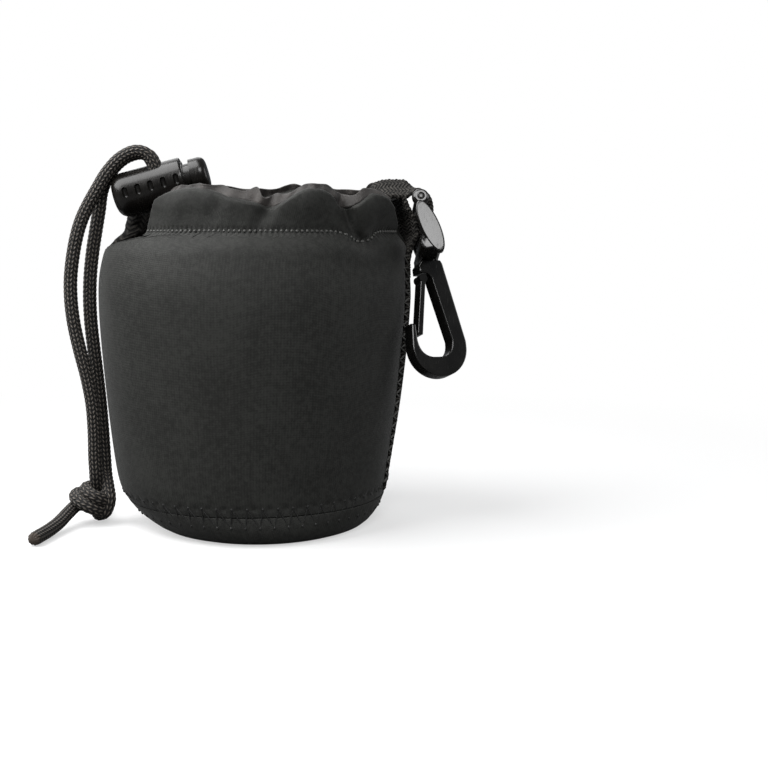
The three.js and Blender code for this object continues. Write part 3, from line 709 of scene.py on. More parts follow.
zigzag_thread = 0.36 * mm
zigzag_sink = 0.06
prick_thick = 0.85 * mm
prick_rise = Vector((0, 0, 0.55 * mm))
prick_sink = 0.12 * mm
zigzag_radius = float(np.interp(zigzag_low, [z for r, z in base_outside], [r for r, z in base_outside]))
bm = bmesh.new()
for i in range(2 * zigzags):
    ends = []
    for j in (i, i + 1):
        angle = math.pi * j / zigzags
        if j % 2:
            point = wall_point(zigzag_high, angle, zigzag_sink)
        else:
            reach = (zigzag_radius - zigzag_sink) * mm
            y = -reach * math.sin(angle) * (1 + foot_reach * (1 - zigzag_low / seam_height))
            point = Vector((reach * math.cos(angle) + foot_lean(zigzag_low) * mm, y, zigzag_low * mm))
        ends.append(point)
    stitch(bm, *ends, zigzag_thread)
    prick = ends[0] - Vector((ends[0].x, ends[0].y, 0)).normalized() * prick_sink
    stitch(bm, prick - prick_rise, prick + prick_rise, prick_thick)
sewn(bm, "base_stitches", seam_thread)

stitches_a_panel = 60
row_margin = 0.012
collar_thread = 0.9 * mm
bm = bmesh.new()
for facing in (1, -1):
    for i in range(stitches_a_panel):
        ends = []
        for share in ((i + 0.2) / stitches_a_panel, (i + 0.8) / stitches_a_panel):
            share = row_margin + (1 - 2 * row_margin) * share
            z = round(stitch_line(share, facing), 2)
            start, end = panel_ends(z, facing)
            angle = start + (end - start) * share
            ends.append(wall_point(z, facing * angle, gathered(share, z, facing) + 0.02))
        stitch(bm, *ends, collar_thread)
sewn(bm, "collar_stitches", sewing_thread)


# Lining
# A thin brushed jersey, bonded to the inside of each panel. It shows only from above, as the grey-brown well
# of the pouch.
lining_gap = 0.6
lining_thickness = 0.7
lining_top = 80.5
lining_round = 0.5


def lining_finish():
    """Brushed jersey: short grey-brown nap over fine columns."""
    column_pitch = 0.7 * mm
    material, nap = finish_named("brushed_lining", {"Roughness": 0.92, "Sheen Weight": 0.3})
    place = nap.node("TexCoord", out="Object")
    rib = nap.math("SINE", nap.uv(0) * (2 * math.pi / column_pitch))
    cloud = nap.node("TexNoise", {"Vector": place, "Scale": 120, "Detail": 5})
    hair = nap.node("TexNoise", {"Vector": place, "Scale": 2400, "Detail": 2})
    shade = (cloud * 0.6 + hair * 0.4 + rib * 0.06).smooth(0.25, 0.75)
    shade.between((0.035, 0.03, 0.027), (0.085, 0.074, 0.066)).into("Base Color")
    (hair + rib * 0.4).bump(0.5, 0.0002)
    return material


brushed_lining = lining_finish()
for name, facing in (("front_lining", 1), ("back_lining", -1)):
    def place_lining(u, v, face):
        u = crowd(1 - u if facing > 0 else u, 0.5)
        z = round(seam_height + (lining_top - seam_height) * crowd(v, 0.6), 2)
        start, last = panel_ends(min(z, 78), facing)
        angle = start + (last - start) * u
        side, end = min(u, 1 - u) * panel_arc, min(z - seam_height, lining_top - z)
        edge = min(rounded(side, lining_round), rounded(end, lining_round))
        slack = 0.5 * math.sin(7 * angle + 0.06 * z) * math.sin(0.09 * z + 2 * angle) * edge
        depth = neoprene + lining_gap + lining_thickness / 2 * (1 - face * edge) + 0.4 * max(slack, 0)
        return wall_point(z, facing * angle, depth)

    uv_size = (panel_arc * mm, 2 * (lining_top - seam_height) * mm)
    lining = shell_piece(name + "_jersey", 90, 36, place_lining, brushed_lining, uv_size)
    fit(lining, "pouch", "lining", name)

base_lining_edge = (
    (0, 4.6), (12, 4.6), (22, 4.62), (27, 4.9), (30, 5.6), (32, 6.7), (33.1, 7.8), (33.3, 8.2), (32.9, 8.3),
    (32.5, 8.1), (31.4, 7.1), (29.6, 6.2), (26.8, 5.6), (22, 5.32), (12, 5.3), (0, 5.3),
)
bm = turned(base_lining_edge, 96)
flat_uv(bm)
for vert in bm.verts:
    vert.co.x += foot_lean(vert.co.z / mm) * mm
base_jersey = piece_from(bm, "base_lining_jersey", brushed_lining)
fit(base_jersey, "pouch", "lining", "base_lining")


# Cord channel
# Strips of thin plain-woven cloth, sewn to the collar's edge and along the row of stitches, make the channel
# for the drawcord. Drawn up by the cord, they ruffle and show above the edge.
channel_thickness = 0.45
channel_room = 7.2
channel_start = 30
channel_foot = 0.6      # above the row of stitches
channel_round = 0.3
lip_out = 2.9      # the lip lies back over the collar's edge


def woven_finish():
    """Plain weave of thin synthetic yarn, grey-brown, with a dull shine on the folds."""
    yarn_pitch = 0.32 * mm
    material, cloth = finish_named("channel_cloth", {"Roughness": 0.7, "Sheen Weight": 0.06})
    place = cloth.node("TexCoord", out="Object")
    across, along = cloth.uv(0) * (math.pi / yarn_pitch), cloth.uv(1) * (math.pi / yarn_pitch)
    weave = cloth.math("SINE", across) * cloth.math("SINE", along)
    cloud = cloth.node("TexNoise", {"Vector": place, "Scale": 160, "Detail": 4})
    shade = (cloud * 0.8 + weave * 0.22 + 0.1).smooth(0.2, 0.8)
    shade.between((0.006, 0.0051, 0.0046), (0.036, 0.03, 0.0265)).into("Base Color")
    weave.bump(0.4, 0.0001)
    return material


channel_cloth = woven_finish()
# Where the cloth stands up above the edge: share of the way round, width and height of each puff
front_puffs = (
    (0.15, 0.05, 0.5), (0.255, 0.026, 2.2), (0.305, 0.026, 2.8), (0.37, 0.03, 1.4), (0.47, 0.03, 0.8),
    (0.555, 0.026, 2.8), (0.63, 0.032, 2.8), (0.69, 0.03, 1.4), (0.76, 0.035, 1.2), (0.9, 0.06, 0.3),
)
back_puffs = (
    (0.12, 0.05, 1.4), (0.27, 0.05, 2.2), (0.45, 0.07, 0.8),
    (0.57, 0.05, 2), (0.7, 0.06, 1), (0.83, 0.05, 1.8),
)


def channel(name, facing, last, rim, puffs):
    """A strip of the channel on one panel: arched inside it round the cord, ruffled above its edge."""
    def place(u, v, face):
        u = crowd(1 - u if facing > 0 else u, 0.4)
        v = crowd(v, 0.5)
        angle = math.radians(channel_start + (last - channel_start) * u)
        start, end = panel_ends(95.0, facing)
        share = round(clamp((angle - start) / (end - start)), 3)
        puff = 0.9 + 0.3 * math.sin(61 * share + 1)
        puff += sum(high * bell(share, middle, wide) for middle, wide, high in puffs)
        edge_height = rim_height(share, rim)
        rise = edge_height + puff - stitch_height - channel_foot
        z = round(stitch_height + channel_foot + rise * v, 2)
        arch = math.sin(math.pi * clamp((z - stitch_height) / (edge_height - 0.8 - stitch_height))) ** 0.4
        ripple = math.sin(34 * share + 3 * math.sin(9 * share)) + 0.45 * math.sin(67 * share + 1)
        frill = 0.4 * math.sin(118 * share + 4 * math.sin(13 * share))
        frill *= ramp(z, edge_height - 1.5, edge_height + 1)
        edge = min(rounded(min(u, 1 - u) * 70, channel_round), rounded(min(v, 1 - v) * 20, channel_round))
        depth = neoprene + lining_gap + channel_room * arch * (1 + 0.06 * ripple) + 0.9 * ripple * v**3
        depth += gathered(share, min(z, 96), facing) * (1 - arch)
        depth += frill + 0.5 * max(0, z - edge_height)
        depth -= lip_out * ramp(z, edge_height - 1.6, edge_height - 0.3)
        return wall_point(z, facing * angle, depth - face * edge * channel_thickness / 2)

    made = shell_piece(name + "_cloth", 200, 36, place, channel_cloth, (72 * mm, 44 * mm))
    fit(made, "pouch", "casing", name)


channel("front_casing", 1, 132, front_rim, front_puffs)
channel("back_casing", -1, 140, back_rim, back_puffs)

neck_height = 91.8
neck_depth = neoprene + 1.2 + cord_radius / mm
neck_route = [wall_point(neck_height, math.radians(144 - 8 * i), neck_depth) for i in range(37)]
neck = rope("neck_cord", np.array([tuple(point) for point in neck_route]), braided_cord)[0]
fit(neck, "pouch", "cord", "drawcord_neck")


# Side strap and edge binding
# Ribbed polyester webbing, 13 mm wide, is sewn up the right seam, goes through the hook's eye and over the
# collar, and is tacked down inside. A narrower tape of the same weave binds the back panel's free edge.
strap_width = 13
strap_thickness = 1.3
crossbar = Vector((48.9, -1, 93))
strap_loop = (
    (-1.6, -8.4), (1.2, -6), (3.1, -2.6), (3.5, 0.8), (2.4, 4), (-0.8, 5.8), (-5.6, 6.2),
    (-10.8, 5.9), (-14.4, 3.8), (-16, 0.2), (-16.2, -4.2),
)
loop_tilt = math.radians(24)      # the loop leans its face to the front on its way over the collar
webbing_step = 0.26 * mm
webbing_round = 0.6
rib_pitch = 1.05
rib_height = 0.22
rib_sink = 0.14
chevron_width = 4.2


def webbing_finish():
    """Herringbone polyester webbing: dark, with a painted highlight on its rib crowns, painted shade between
    the ribs, and paler fibre flecks.
    """
    material, web = finish_named("ribbed_webbing", {"Roughness": 0.8, "Specular IOR Level": 0.2})
    place = web.node("TexCoord", out="Object")
    across, along = web.uv(0) * (1 / mm), web.uv(1) * (1 / mm)
    chevron = web.math("ABSOLUTE", across * (1 / chevron_width) % 1 - 0.5)
    rib = web.math("ABSOLUTE", web.math("SINE", (along * (1 / rib_pitch) + chevron * 2) * math.pi))
    fibre = web.node("TexNoise", {"Vector": place, "Scale": 1200, "Detail": 3})
    # Painted highlight on the rib crowns and painted shade between the ribs, mixed with flecks of the fibres'
    # own tone.
    crown_light_and_fibres = (rib * 0.5 + fibre * 0.85).smooth(0.62, 1.1)
    crown_light_and_fibres.between((0.0026, 0.0024, 0.0022), (0.05, 0.046, 0.041)).into("Base Color")
    (rib + fibre * 0.6).bump(0.7, 0.0003)
    return material


ribbed_webbing = webbing_finish()


def rib_relief(across, along):
    """Height of the ribs, from 0 to 1, at a place on the webbing in millimetres."""
    chevron = abs(across / chevron_width % 1 - 0.5)
    return abs(math.sin(math.pi * (along / rib_pitch + 2 * chevron)))


def webbing_edge(across, along, length):
    """How full the webbing is: 0 at its selvedges and cut ends, and 1 a little inside them."""
    side, end = min(across, strap_width - across), min(along, length - along)
    return min(rounded(side, webbing_round), rounded(end, webbing_round))


def selvedge_wave(along):
    """The webbing's width swells and shrinks a little with its ribs."""
    return 1 + 0.025 * math.sin(2 * math.pi * along / (2 * rib_pitch))


def strap_half_thick(along):
    """The webbing is pressed thin where its lower end is sewn down."""
    return strap_thickness / 2 * (0.6 + 0.5 * ramp(along, 0, 45))


strap_heights = (9.5, 21.25, 33, 44.75, 56.5, 68.25, 80)
strap_points = []
for z in strap_heights:
    wall_face = section(z)[0] + section(z)[1] + foot_lean(z)
    strap_points.append(((wall_face + strap_half_thick(z - strap_heights[0])) * mm, 0, z * mm))
strap_points += [((crossbar.x + right) * mm, 0, (crossbar.z + up) * mm) for right, up in strap_loop]
strap_path, strap_length = smooth_path(np.array(strap_points), webbing_step)
strap_ahead = np.gradient(strap_path, axis=0)
strap_out = np.cross((0, 1, 0), strap_ahead)
strap_out /= np.linalg.norm(strap_out, axis=1)[:, None]


def strap_spot(across, row, lift):
    """A place on the webbing, across from its middle line and lifted off its middle layer."""
    place = Vector(strap_path[row])
    beyond_bar = crossbar.x - place.x / mm
    over_collar = ramp(beyond_bar, 0, 4) * (1 - ramp(beyond_bar, 12.5, 16)) * (row > len(strap_path) / 2)
    tilt = loop_tilt * over_collar
    bent_round_wall = (1 - ramp(place.z / mm, 72, 86)) * across**2 / (2 * 42)
    out = Vector(strap_out[row]) * math.cos(tilt) - Vector((0, math.sin(tilt), 0))
    side = Vector((0, math.cos(tilt), math.sin(tilt)))
    return place + (side * across + out * (lift - bent_round_wall)) * mm


def place_strap(u, v, face):
    row = round(v * (len(strap_path) - 1))
    along = v * strap_length / mm
    across = crowd(u, 0.5) * strap_width
    edge = webbing_edge(across, along, strap_length / mm)
    selvedge = selvedge_wave(along) + 0.012 * math.sin(along * 2.3)
    thick = (strap_half_thick(along) - rib_sink + rib_height * rib_relief(across, along)) * edge
    return strap_spot((across - strap_width / 2) * selvedge, row, face * thick)


uv_size = (strap_width * mm, 2 * strap_length)
strap = shell_piece("side_strap_webbing", 40, len(strap_path) - 1, place_strap, ribbed_webbing, uv_size)
fit(strap, "pouch", "webbing", "side_strap")

inner_rise = ((-3.3, -15), (-3.3, -11), (-3.5, -7), (-4.2, -3), (-5.4, 0.6), (-6.6, 3.6))
inner_turn = 3.2      # how far the front edge comes out behind the hook's eye
inner_points = [((crossbar.x + right) * mm, 0, (crossbar.z + up) * mm) for right, up in inner_rise]
inner_path, inner_length = smooth_path(np.array(inner_points), webbing_step)


def place_inner(u, v, face):
    row = round(v * (len(inner_path) - 1))
    ahead = Vector(inner_path[min(row + 1, len(inner_path) - 1)] - inner_path[max(row - 1, 0)]).normalized()
    along = v * inner_length / mm
    across = crowd(u, 0.5) * strap_width
    edge = webbing_edge(across, along, inner_length / mm)
    thick = (strap_thickness / 2 - rib_sink + rib_height * rib_relief(across, along)) * edge
    offset = Vector((0, 1, 0)).cross(ahead) * face * thick * mm
    up = inner_path[row][2] / mm - crossbar.z
    turned_out = ramp(up, -13, -6) * (1 - 0.3 * ramp(up, -3, 1)) * (1 - across / (0.73 * strap_width))
    offset += Vector((inner_turn * turned_out, (across - strap_width / 2) * selvedge_wave(along), 0)) * mm
    return Vector(inner_path[row]) + offset


uv_size = (strap_width * mm, 2 * inner_length)
inner_strap = shell_piece("strap_inner_layer", 40, len(inner_path) - 1, place_inner, ribbed_webbing, uv_size)
fit(inner_strap, "pouch", "webbing")

tack_rows = (3, 4.2, 66, 67.4, 68.8)
tack_pitch = 2.04
tack_half = 0.85
tack_thread = 0.5 * mm
overcast_start = 2.5
overcast_pitch = 1.7
overcast_count = 42
overcast_on_strap = 5.3      # from the strap's middle line, as is the next
overcast_on_wall = 7.7
overcast_thread = 0.62 * mm
strap_runs = np.linspace(0, strap_length, len(strap_path)) / mm
bm = bmesh.new()
for reach in tack_rows:
    row = int(np.argmin(abs(strap_runs - reach)))
    lift = strap_half_thick(reach) + 0.1
    for i in range(6):
        y = (i - 2.5) * tack_pitch
        stitch(bm, strap_spot(y - tack_half, row, lift), strap_spot(y + tack_half, row, lift), tack_thread)
for side in (-1, 1):
    ends = []
    for i in range(overcast_count):
        row = int(np.argmin(abs(strap_runs - overcast_start - i * overcast_pitch)))
        if i % 2:
            ends.append(strap_spot(side * overcast_on_strap, row, strap_half_thick(strap_runs[row]) + 0.12))
        else:
            z = round(strap_path[row][2] / mm, 2)
            ends.append(wall_point(z, math.asin(-side * overcast_on_wall / section(z)[2]), -0.08))
    for start, end in zip(ends, ends[1:]):
        stitch(bm, start, end, overcast_thread)
sewn(bm, "strap_tacks", sewing_thread)

tape_low = 77
tape_high = 95
tape_reach = 5
tape_thickness = 0.6


def place_binding(u, v, face):
    z = round(tape_low + (tape_high - tape_low) * crowd(v, 0.5), 2)
    middle, half_width, half_depth = section(z)
    last = panel_ends(z, -1)[1]
    round_edge = neoprene / 2 + 0.35
    run = u * (2 * tape_reach + math.pi * round_edge)
    turn = min(max((run - tape_reach) / round_edge, 0), math.pi)
    beyond = min(run - tape_reach, 0, tape_reach + math.pi * round_edge - run)
    edge = min(rounded(min(u, 1 - u) * 16, 0.4), rounded(min(v, 1 - v) * 18, 0.4))
    lumps = 0.12 * rib_relief(run, z) + 0.14 * math.sin(z * 2.1 + run) * math.sin(z * 0.7)
    reach = round_edge + face * (tape_thickness / 2) * edge + lumps
    beyond += reach * math.sin(turn) - neoprene / 2
    depth = neoprene / 2 - reach * math.cos(turn)
    pace = math.hypot(half_width * math.sin(last), half_depth * math.cos(last))
    return wall_point(z, -(last + beyond / pace), depth + gathered(1, z, -1))


binding = shell_piece("slit_binding_tape", 60, 60, place_binding, ribbed_webbing, (17 * mm, 36 * mm))
fit(binding, "pouch", "webbing", "slit_binding")


# Cord lock
# A moulded barrel with a row of short grip slots, and in it a plunger that a steel spring pushes out. Both
# have a hole across for the two cords, which the spring pinches between the holes' edges.
barrel_radius = 6.5
barrel_closed = -13.8
barrel_open = 7.5
bore_radius = 5.5
bore_floor = -10.8
cord_hole = (4.6, 9.0)
lock_place = Matrix.Translation(lock_middle * mm) @ Matrix.Rotation(-lock_lean, 4, "Y")
along_lock = Matrix.Rotation(math.pi / 2, 4, "Y")      # from a spun outline's Z to the lock's own X


def curve_points(start, control, end, steps=8):
    """Points along a quarter-like curve, drawn towards its control point."""
    points = []
    for i in range(1, steps + 1):
        t = i / steps
        points.append(tuple(
            (1 - t) ** 2 * a + 2 * t * (1 - t) * b + t * t * c
            for a, b, c in zip(start, control, end)
        ))
    return points


def bevel(bm, edges, width, segments):
    """Rounds edges of a bmesh."""
    bmesh.ops.bevel(
        bm, geom=edges, offset=width * mm, affect="EDGES", segments=segments, profile=0.5, material=-1,
    )


def rounded_block(size, place, radius, segments=3):
    """A block with rounded edges, as a bmesh."""
    bm = bmesh.new()
    bmesh.ops.create_cube(bm, size=1, matrix=Matrix.Diagonal((*(side * mm for side in size), 1)))
    bevel(bm, bm.edges, radius, segments)
    bmesh.ops.transform(bm, matrix=place, verts=bm.verts)
    return bm


def combine(piece, shapes, operation):
    """Joins shapes to a piece (UNION) or cuts them out of it (DIFFERENCE), for good."""
    tools = []
    for number, bm in enumerate(shapes):
        tool = bpy.data.objects.new("tool", bpy.data.meshes.new("tool"))
        bm.to_mesh(tool.data)
        bm.free()
        scene.collection.objects.link(tool)
        tools.append(tool)
        step = piece.modifiers.new(f"step_{number}", "BOOLEAN")
        step.object = tool
        step.operation = operation
        step.solver = "EXACT"
    whole = bpy.data.meshes.new_from_object(piece.evaluated_get(bpy.context.evaluated_depsgraph_get()))
    piece.modifiers.clear()
    piece.data = whole
    for tool in tools:
        bpy.data.objects.remove(tool)


def soften_edges(piece, width, angle=32, segments=3):
    """A small moulded radius on every sharp edge."""
    edge = piece.modifiers.new("moulded_edge", "BEVEL")
    edge.width = width * mm
    edge.segments = segments
    edge.limit_method = "ANGLE"
    edge.angle_limit = math.radians(angle)
    edge.harden_normals = True
    for face in piece.data.polygons:
        face.use_smooth = True
    piece.data.set_sharp_from_angle(angle=math.radians(angle))
    flats = piece.modifiers.new("flat_faces", "WEIGHTED_NORMAL")
    flats.keep_sharp = True
    flats.weight = 100


def moulded_finish(name, colour, roughness, grain, gloss):
    """Black moulded plastic: nearly smooth, with faint flow marks and fine scratches."""
    material, skin = finish_named(name, {"Specular IOR Level": gloss})
    place = skin.node("TexCoord", out="Object")
    cloud = skin.node("TexNoise", {"Vector": place, "Scale": 180, "Detail": 3})
    fine = skin.node("TexNoise", {"Vector": place, "Scale": 2600, "Detail": 2})
    drawn = skin.node("Mapping", {"Vector": place, "Rotation": (0.3, 0.2, 0.4), "Scale": (2600, 300, 500)})
    scratch = skin.node("TexNoise", {"Vector": drawn, "Scale": 1.0, "Detail": 2}).smooth(0.55, 0.8)
    tone = (cloud * 0.7 + scratch * 0.3).smooth(0.2, 0.8)
    dark, light = tuple(0.6 * part for part in colour), tuple(1.5 * part for part in colour)
    tone.between(dark, light).into("Base Color")
    (roughness + cloud * 0.12 + scratch * 0.1).into("Roughness")
    (fine * 0.5 + cloud * 0.6 - scratch * 0.3).bump(grain, 0.00008)
    return material


lock_plastic = moulded_finish("lock_plastic", (0.01, 0.009, 0.008), 0.2, 0.12, 0.34)


def lock_turning(outline, name):
    """A round part of the lock, spun about its long axis."""
    bm = turned(outline, 72)
    bmesh.ops.transform(bm, matrix=lock_place @ along_lock, verts=bm.verts)
    return piece_from(bm, name, lock_plastic)


barrel_flat = (2.5, barrel_closed)
barrel_shoulder = (barrel_radius, barrel_closed + 4)
barrel_outline = [(0, barrel_closed), barrel_flat]
barrel_outline += curve_points(barrel_flat, (barrel_radius, barrel_closed), barrel_shoulder, 10)
barrel_outline += [(barrel_radius, along) for along in (-4, 2, 7)]
barrel_outline += [(6.34, 7.38), (6, barrel_open), (bore_radius, barrel_open), (bore_radius, 0)]
barrel_outline += [(bore_radius, bore_floor), (0, bore_floor)]
barrel = lock_turning(barrel_outline, "lock_barrel")
hole_through = 30
hole_round = 1.2
grip_slot = (1.6, 1.9, 3.2)
grip_start = -9.6
grip_pitch = 3.8
slots = [rounded_block((*cord_hole, hole_through), lock_place, hole_round)]
for i in range(5):
    for face in (-1, 1):
        slot_middle = Vector((grip_start + grip_pitch * i, face * barrel_radius, 0.2)) * mm
        slots.append(rounded_block(grip_slot, lock_place @ Matrix.Translation(slot_middle), 0.7))
combine(barrel, slots, "DIFFERENCE")
soften_edges(barrel, 0.16)
fit(barrel, "drawcord", "lock_plastic", "lock_body")

plunger_radius = bore_radius - 0.3
plunger_inner = -4.6
plunger_tip = 14.6
tip_round = 2.4
groove_start = barrel_open + 0.3
groove_end = groove_start + 2
groove_radius = plunger_radius - 1
plunger_outline = [(0, plunger_inner), (plunger_radius, plunger_inner), (plunger_radius, 0)]
plunger_outline += [(plunger_radius, groove_start), (groove_radius, groove_start)]
plunger_outline += [(groove_radius, groove_end), (plunger_radius, groove_end)]
tip_side, tip_edge = (plunger_radius, plunger_tip - tip_round), (plunger_radius - tip_round, plunger_tip)
plunger_outline += [tip_side, *curve_points(tip_side, (plunger_radius, plunger_tip), tip_edge)]
plunger_outline += [(1.2, plunger_tip), (0, plunger_tip)]
plunger = lock_turning(plunger_outline, "lock_button")
plunger_slot = (8.4, 9.0)
slot_place = lock_place @ Matrix.Translation(Vector((1.9, 0, 0)) * mm)
combine(plunger, [rounded_block((*plunger_slot, hole_through), slot_place, hole_round)], "DIFFERENCE")
soften_edges(plunger, 0.16)
fit(plunger, "plunger", "lock_plastic", "lock_plunger")

spring_ends = (-10.2, -5.2)
spring_turns = 3
points_a_turn = 24
spring_radius = 3.6
wire_radius = 0.3


def steel_finish():
    """Drawn spring wire: bright steel, unevenly polished."""
    material, wire = finish_named("spring_wire", {"Metallic": 1.0})
    lines = wire.node("TexNoise", {"Vector": wire.node("TexCoord", out="Object"), "Scale": 1500, "Detail": 2})
    lines.between((0.42, 0.42, 0.43), (0.62, 0.62, 0.63)).into("Base Color")
    (0.2 + lines * 0.2).into("Roughness")
    return material


spring_points = []
for i in range(points_a_turn * spring_turns + 1):
    angle = 2 * math.pi * i / points_a_turn
    along = spring_ends[0] + (spring_ends[1] - spring_ends[0]) * i / (points_a_turn * spring_turns)
    local = Vector((along, spring_radius * math.cos(angle), spring_radius * math.sin(angle))) * mm
    spring_points.append(tuple(lock_place @ local))
spring_path, spring_length = smooth_path(np.array(spring_points), 0.35 * mm)
spring_rings = rings_along(spring_path)


def place_spring(u, v):
    row = round(v * (len(spring_path) - 1))
    radius = wire_radius * mm * rounded(min(v, 1 - v) * spring_length / mm, wire_radius)
    side, over = spring_rings[row]
    angle = 2 * math.pi * u
    return Vector(spring_path[row] + radius * (math.cos(angle) * side + math.sin(angle) * over))


spring = grid_piece("lock_coil", 12, len(spring_path) - 1, place_spring, steel_finish())
fit(spring, "drawcord", "spring_steel", "lock_spring")
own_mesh(spring)


# Snap hook
# Three mouldings of glossy black plastic: an eye that hangs on the strap by its crossbar, a hook whose headed
# post turns in the eye's bar, and a springy gate that bends in at its root to close the hook's mouth.
hook_tilt = math.radians(-18)
hook_lean = math.radians(-5.2)
hook_twist = math.radians(22)
eye_place = Matrix.Translation(crossbar * mm) @ Matrix.Rotation(hook_tilt, 4, "X")
eye_place = eye_place @ Matrix.Rotation(hook_lean, 4, "Y")
eye_drop = 16
bar_thickness = 3.4
swivel_offset = 1.5
hook_place = eye_place @ Matrix.Translation(Vector((swivel_offset, 0, -eye_drop - 0.3)) * mm)
hook_place = hook_place @ Matrix.Rotation(hook_twist, 4, "Z")


def plate(outline, width, edge, place, segments=2, middle=0.0):
    """An outline in the XZ plane made solid across Y, its rims bevelled, as a bmesh."""
    bm = bmesh.new()
    verts = [bm.verts.new((x * mm, (middle - width / 2) * mm, z * mm)) for x, z in outline]
    face = bm.faces.new(verts)
    grown = bmesh.ops.extrude_face_region(bm, geom=[face])["geom"]
    far = [item for item in grown if isinstance(item, bmesh.types.BMVert)]
    bmesh.ops.translate(bm, vec=(0, width * mm, 0), verts=far)
    bmesh.ops.recalc_face_normals(bm, faces=bm.faces)
    rims = [line for line in bm.edges if abs(line.verts[0].co.y - line.verts[1].co.y) < 1e-7]
    bevel(bm, rims, edge, segments)
    bmesh.ops.triangulate(bm, faces=[side for side in bm.faces if len(side.verts) > 4])
    bmesh.ops.transform(bm, matrix=place, verts=bm.verts)
    return bm


def rod(radius, length, place, sides=40):
    """A round rod along Z, as a bmesh."""
    bm = bmesh.new()
    bmesh.ops.create_cone(
        bm, cap_ends=True, segments=sides, radius1=radius * mm, radius2=radius * mm, depth=length * mm,
    )
    bmesh.ops.transform(bm, matrix=place, verts=bm.verts)
    return bm


hook_plastic = moulded_finish("hook_plastic", (0.0075, 0.007, 0.0064), 0.17, 0.12, 0.5)
along_y = Matrix.Rotation(math.pi / 2, 4, "X")
eye_inner = 21
arm_thickness = 2.4
arm_half = (2.75, 8.3)
arm_lean = math.radians(17)
arm_drop = 9.3
arm_shift = arm_drop * math.tan(arm_lean) - 1.2
arm_outline = []
for i in range(56):
    turn = -2 * math.pi * i / 56
    x, z = arm_half[0] * math.cos(turn), arm_half[1] * math.sin(turn)
    arm_outline.append((x * math.cos(arm_lean) - z * math.sin(arm_lean) + arm_shift,
                        x * math.sin(arm_lean) + z * math.cos(arm_lean) - arm_drop))
bar_half = 3.2
bar_round = 1.7
bar_width = 25.4
bar_left, bar_right = swivel_offset - bar_half, swivel_offset + bar_half
bar_top, bar_middle = -eye_drop + bar_thickness, -eye_drop + bar_thickness / 2
bar_outline = [(bar_left, bar_top), (bar_left, bar_middle)]
under_left, under_right = (bar_left + bar_round, -eye_drop), (bar_right - bar_round, -eye_drop)
bar_outline += curve_points((bar_left, bar_middle), (bar_left, -eye_drop), under_left, 6)
bar_outline += [under_right, *curve_points(under_right, (bar_right, -eye_drop), (bar_right, bar_middle), 6)]
bar_outline += [(bar_right, bar_top)]
eye = piece_from(plate(bar_outline, bar_width, 0.5, eye_place), "hook_eye_moulding", hook_plastic)
arm_middle = (eye_inner + arm_thickness) / 2
arms = [plate(arm_outline, arm_thickness, 0.5, eye_place, 3, side * arm_middle) for side in (-1, 1)]
boss_radius = 2.5
boss_start = 10.5
dome_start = 10.9
dome_height = 1.7
boss_outline = [(0, boss_start), (boss_radius, boss_start)]
for i in range(8):
    turn = i / 7 * math.pi / 2
    boss_outline.append((boss_radius * math.cos(turn), dome_start + dome_height * math.sin(turn)))
bosses = []
for side in (-1, 1):
    boss = turned(boss_outline, 36)
    boss_place = eye_place @ Matrix.Rotation(side * math.pi / 2, 4, "X")
    bmesh.ops.transform(boss, matrix=boss_place, verts=boss.verts)
    bosses.append(boss)
crossbar_radius = 1.6
crossbar_length = 24.8
swivel_bore = 2.2
combine(eye, [rod(crossbar_radius, crossbar_length, eye_place @ along_y), *arms, *bosses], "UNION")
swivel_hole = eye_place @ Matrix.Translation(Vector((swivel_offset, 0, bar_middle)) * mm)
combine(eye, [rod(swivel_bore, 10, swivel_hole)], "DIFFERENCE")
soften_edges(eye, 0.14)
fit(eye, "eye", "hook_plastic", "hook_eye")

hook_length = 35
hook_thickness = 5
bow_radius = 8.9
bow_middle = -0.9
bow_level = -(hook_length - bow_radius)
bow_left, bow_right = bow_middle - bow_radius, bow_middle + bow_radius
nose_width = 2
nose_tip = -19.4
spine_width = 4.8
nose_inner, spine_inner = bow_left + nose_width, bow_right - spine_width
saddle_level = -(hook_length - 5.8)
saddle_middle = (nose_inner + spine_inner) / 2
saddle_right, saddle_left = (saddle_middle + 1, saddle_level), (saddle_middle - 1, saddle_level)
head_half = 3.2
shoulder = -4
shoulder_reach = 4.8
neck_spine = head_half - spine_width
throat_start, throat = (neck_spine - 1.5, shoulder), (neck_spine + 0.8, shoulder - 3)
spine_foot, nose_foot = (spine_inner, bow_level + 2), (nose_inner, bow_level + 3)
hook_outline = [(-head_half, 0), (-shoulder_reach, shoulder / 2), (-shoulder_reach, shoulder)]
hook_outline += [throat_start, *curve_points(throat_start, (neck_spine + 0.4, shoulder), throat, 6)]
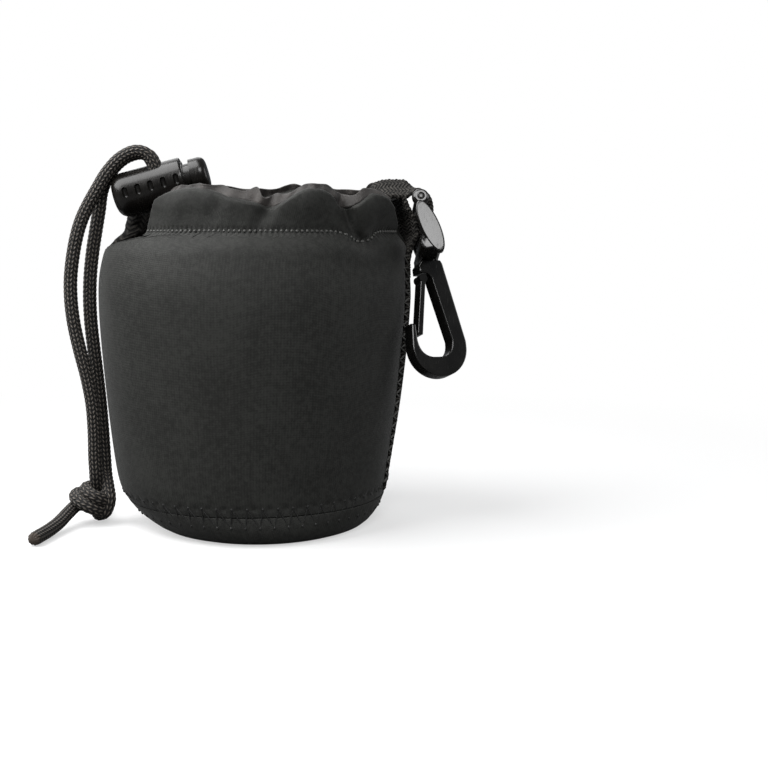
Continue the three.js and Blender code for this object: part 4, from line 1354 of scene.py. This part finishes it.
hook_outline += [spine_foot, *curve_points(spine_foot, (spine_inner, saddle_level), saddle_right)]
hook_outline += [saddle_left, *curve_points(saddle_left, (nose_inner, saddle_level + 0.6), nose_foot)]
hook_outline += [(nose_inner, nose_tip), (bow_left + 0.4, nose_tip)]
for i in range(33):
    turn = math.pi + math.pi * i / 32
    hook_outline.append((bow_middle + bow_radius * math.cos(turn), bow_level + bow_radius * math.sin(turn)))
hook_outline += [(bow_right, bow_level + 1.5), (head_half, -1), (2.6, 0)]
post_radius = 1.9
post_root = -1.5
post_top = bar_thickness + 0.6
post_outline = [(0, post_root), (post_radius, post_root), (post_radius, post_top)]
post_outline += [(2.9, post_top), (3.2, post_top + 0.3), (3.2, post_top + 1.2), (2.9, post_top + 1.5)]
post_outline += [(0, post_top + 1.5)]
post = turned(post_outline, 40)
bmesh.ops.transform(post, matrix=hook_place, verts=post.verts)
post_mesh = bpy.data.meshes.new("headed_post")
post.to_mesh(post_mesh)
post.free()
bm = plate(hook_outline, hook_thickness, 0.6, hook_place)
bm.from_mesh(post_mesh)
hook = piece_from(bm, "hook_moulding", hook_plastic)
soften_edges(hook, 0.12)
fit(hook, "hook", "hook_plastic", "hook_body")

gate_width = 4
knuckle_radius = 1.3
knuckle = (-shoulder_reach + knuckle_radius, shoulder - 0.3 - knuckle_radius)
gate_tip = (nose_inner + 0.5, -22.5)
gate_outline = [(knuckle[0] - 0.8, knuckle[1]), (gate_tip[0], gate_tip[1] + 0.5)]
gate_outline += [(gate_tip[0] + 0.4, gate_tip[1]), (gate_tip[0] + 1.6, gate_tip[1])]
gate_outline += [(knuckle[0] + 0.8, knuckle[1])]
gate = piece_from(plate(gate_outline, gate_width, 0.25, hook_place), "hook_gate_tongue", hook_plastic)
knuckle_place = hook_place @ Matrix.Translation(Vector((knuckle[0], 0, knuckle[1])) * mm) @ along_y
combine(gate, [rod(knuckle_radius, gate_width, knuckle_place, 28)], "UNION")
soften_edges(gate, 0.12)
fit(gate, "gate", "hook_plastic", "hook_gate")
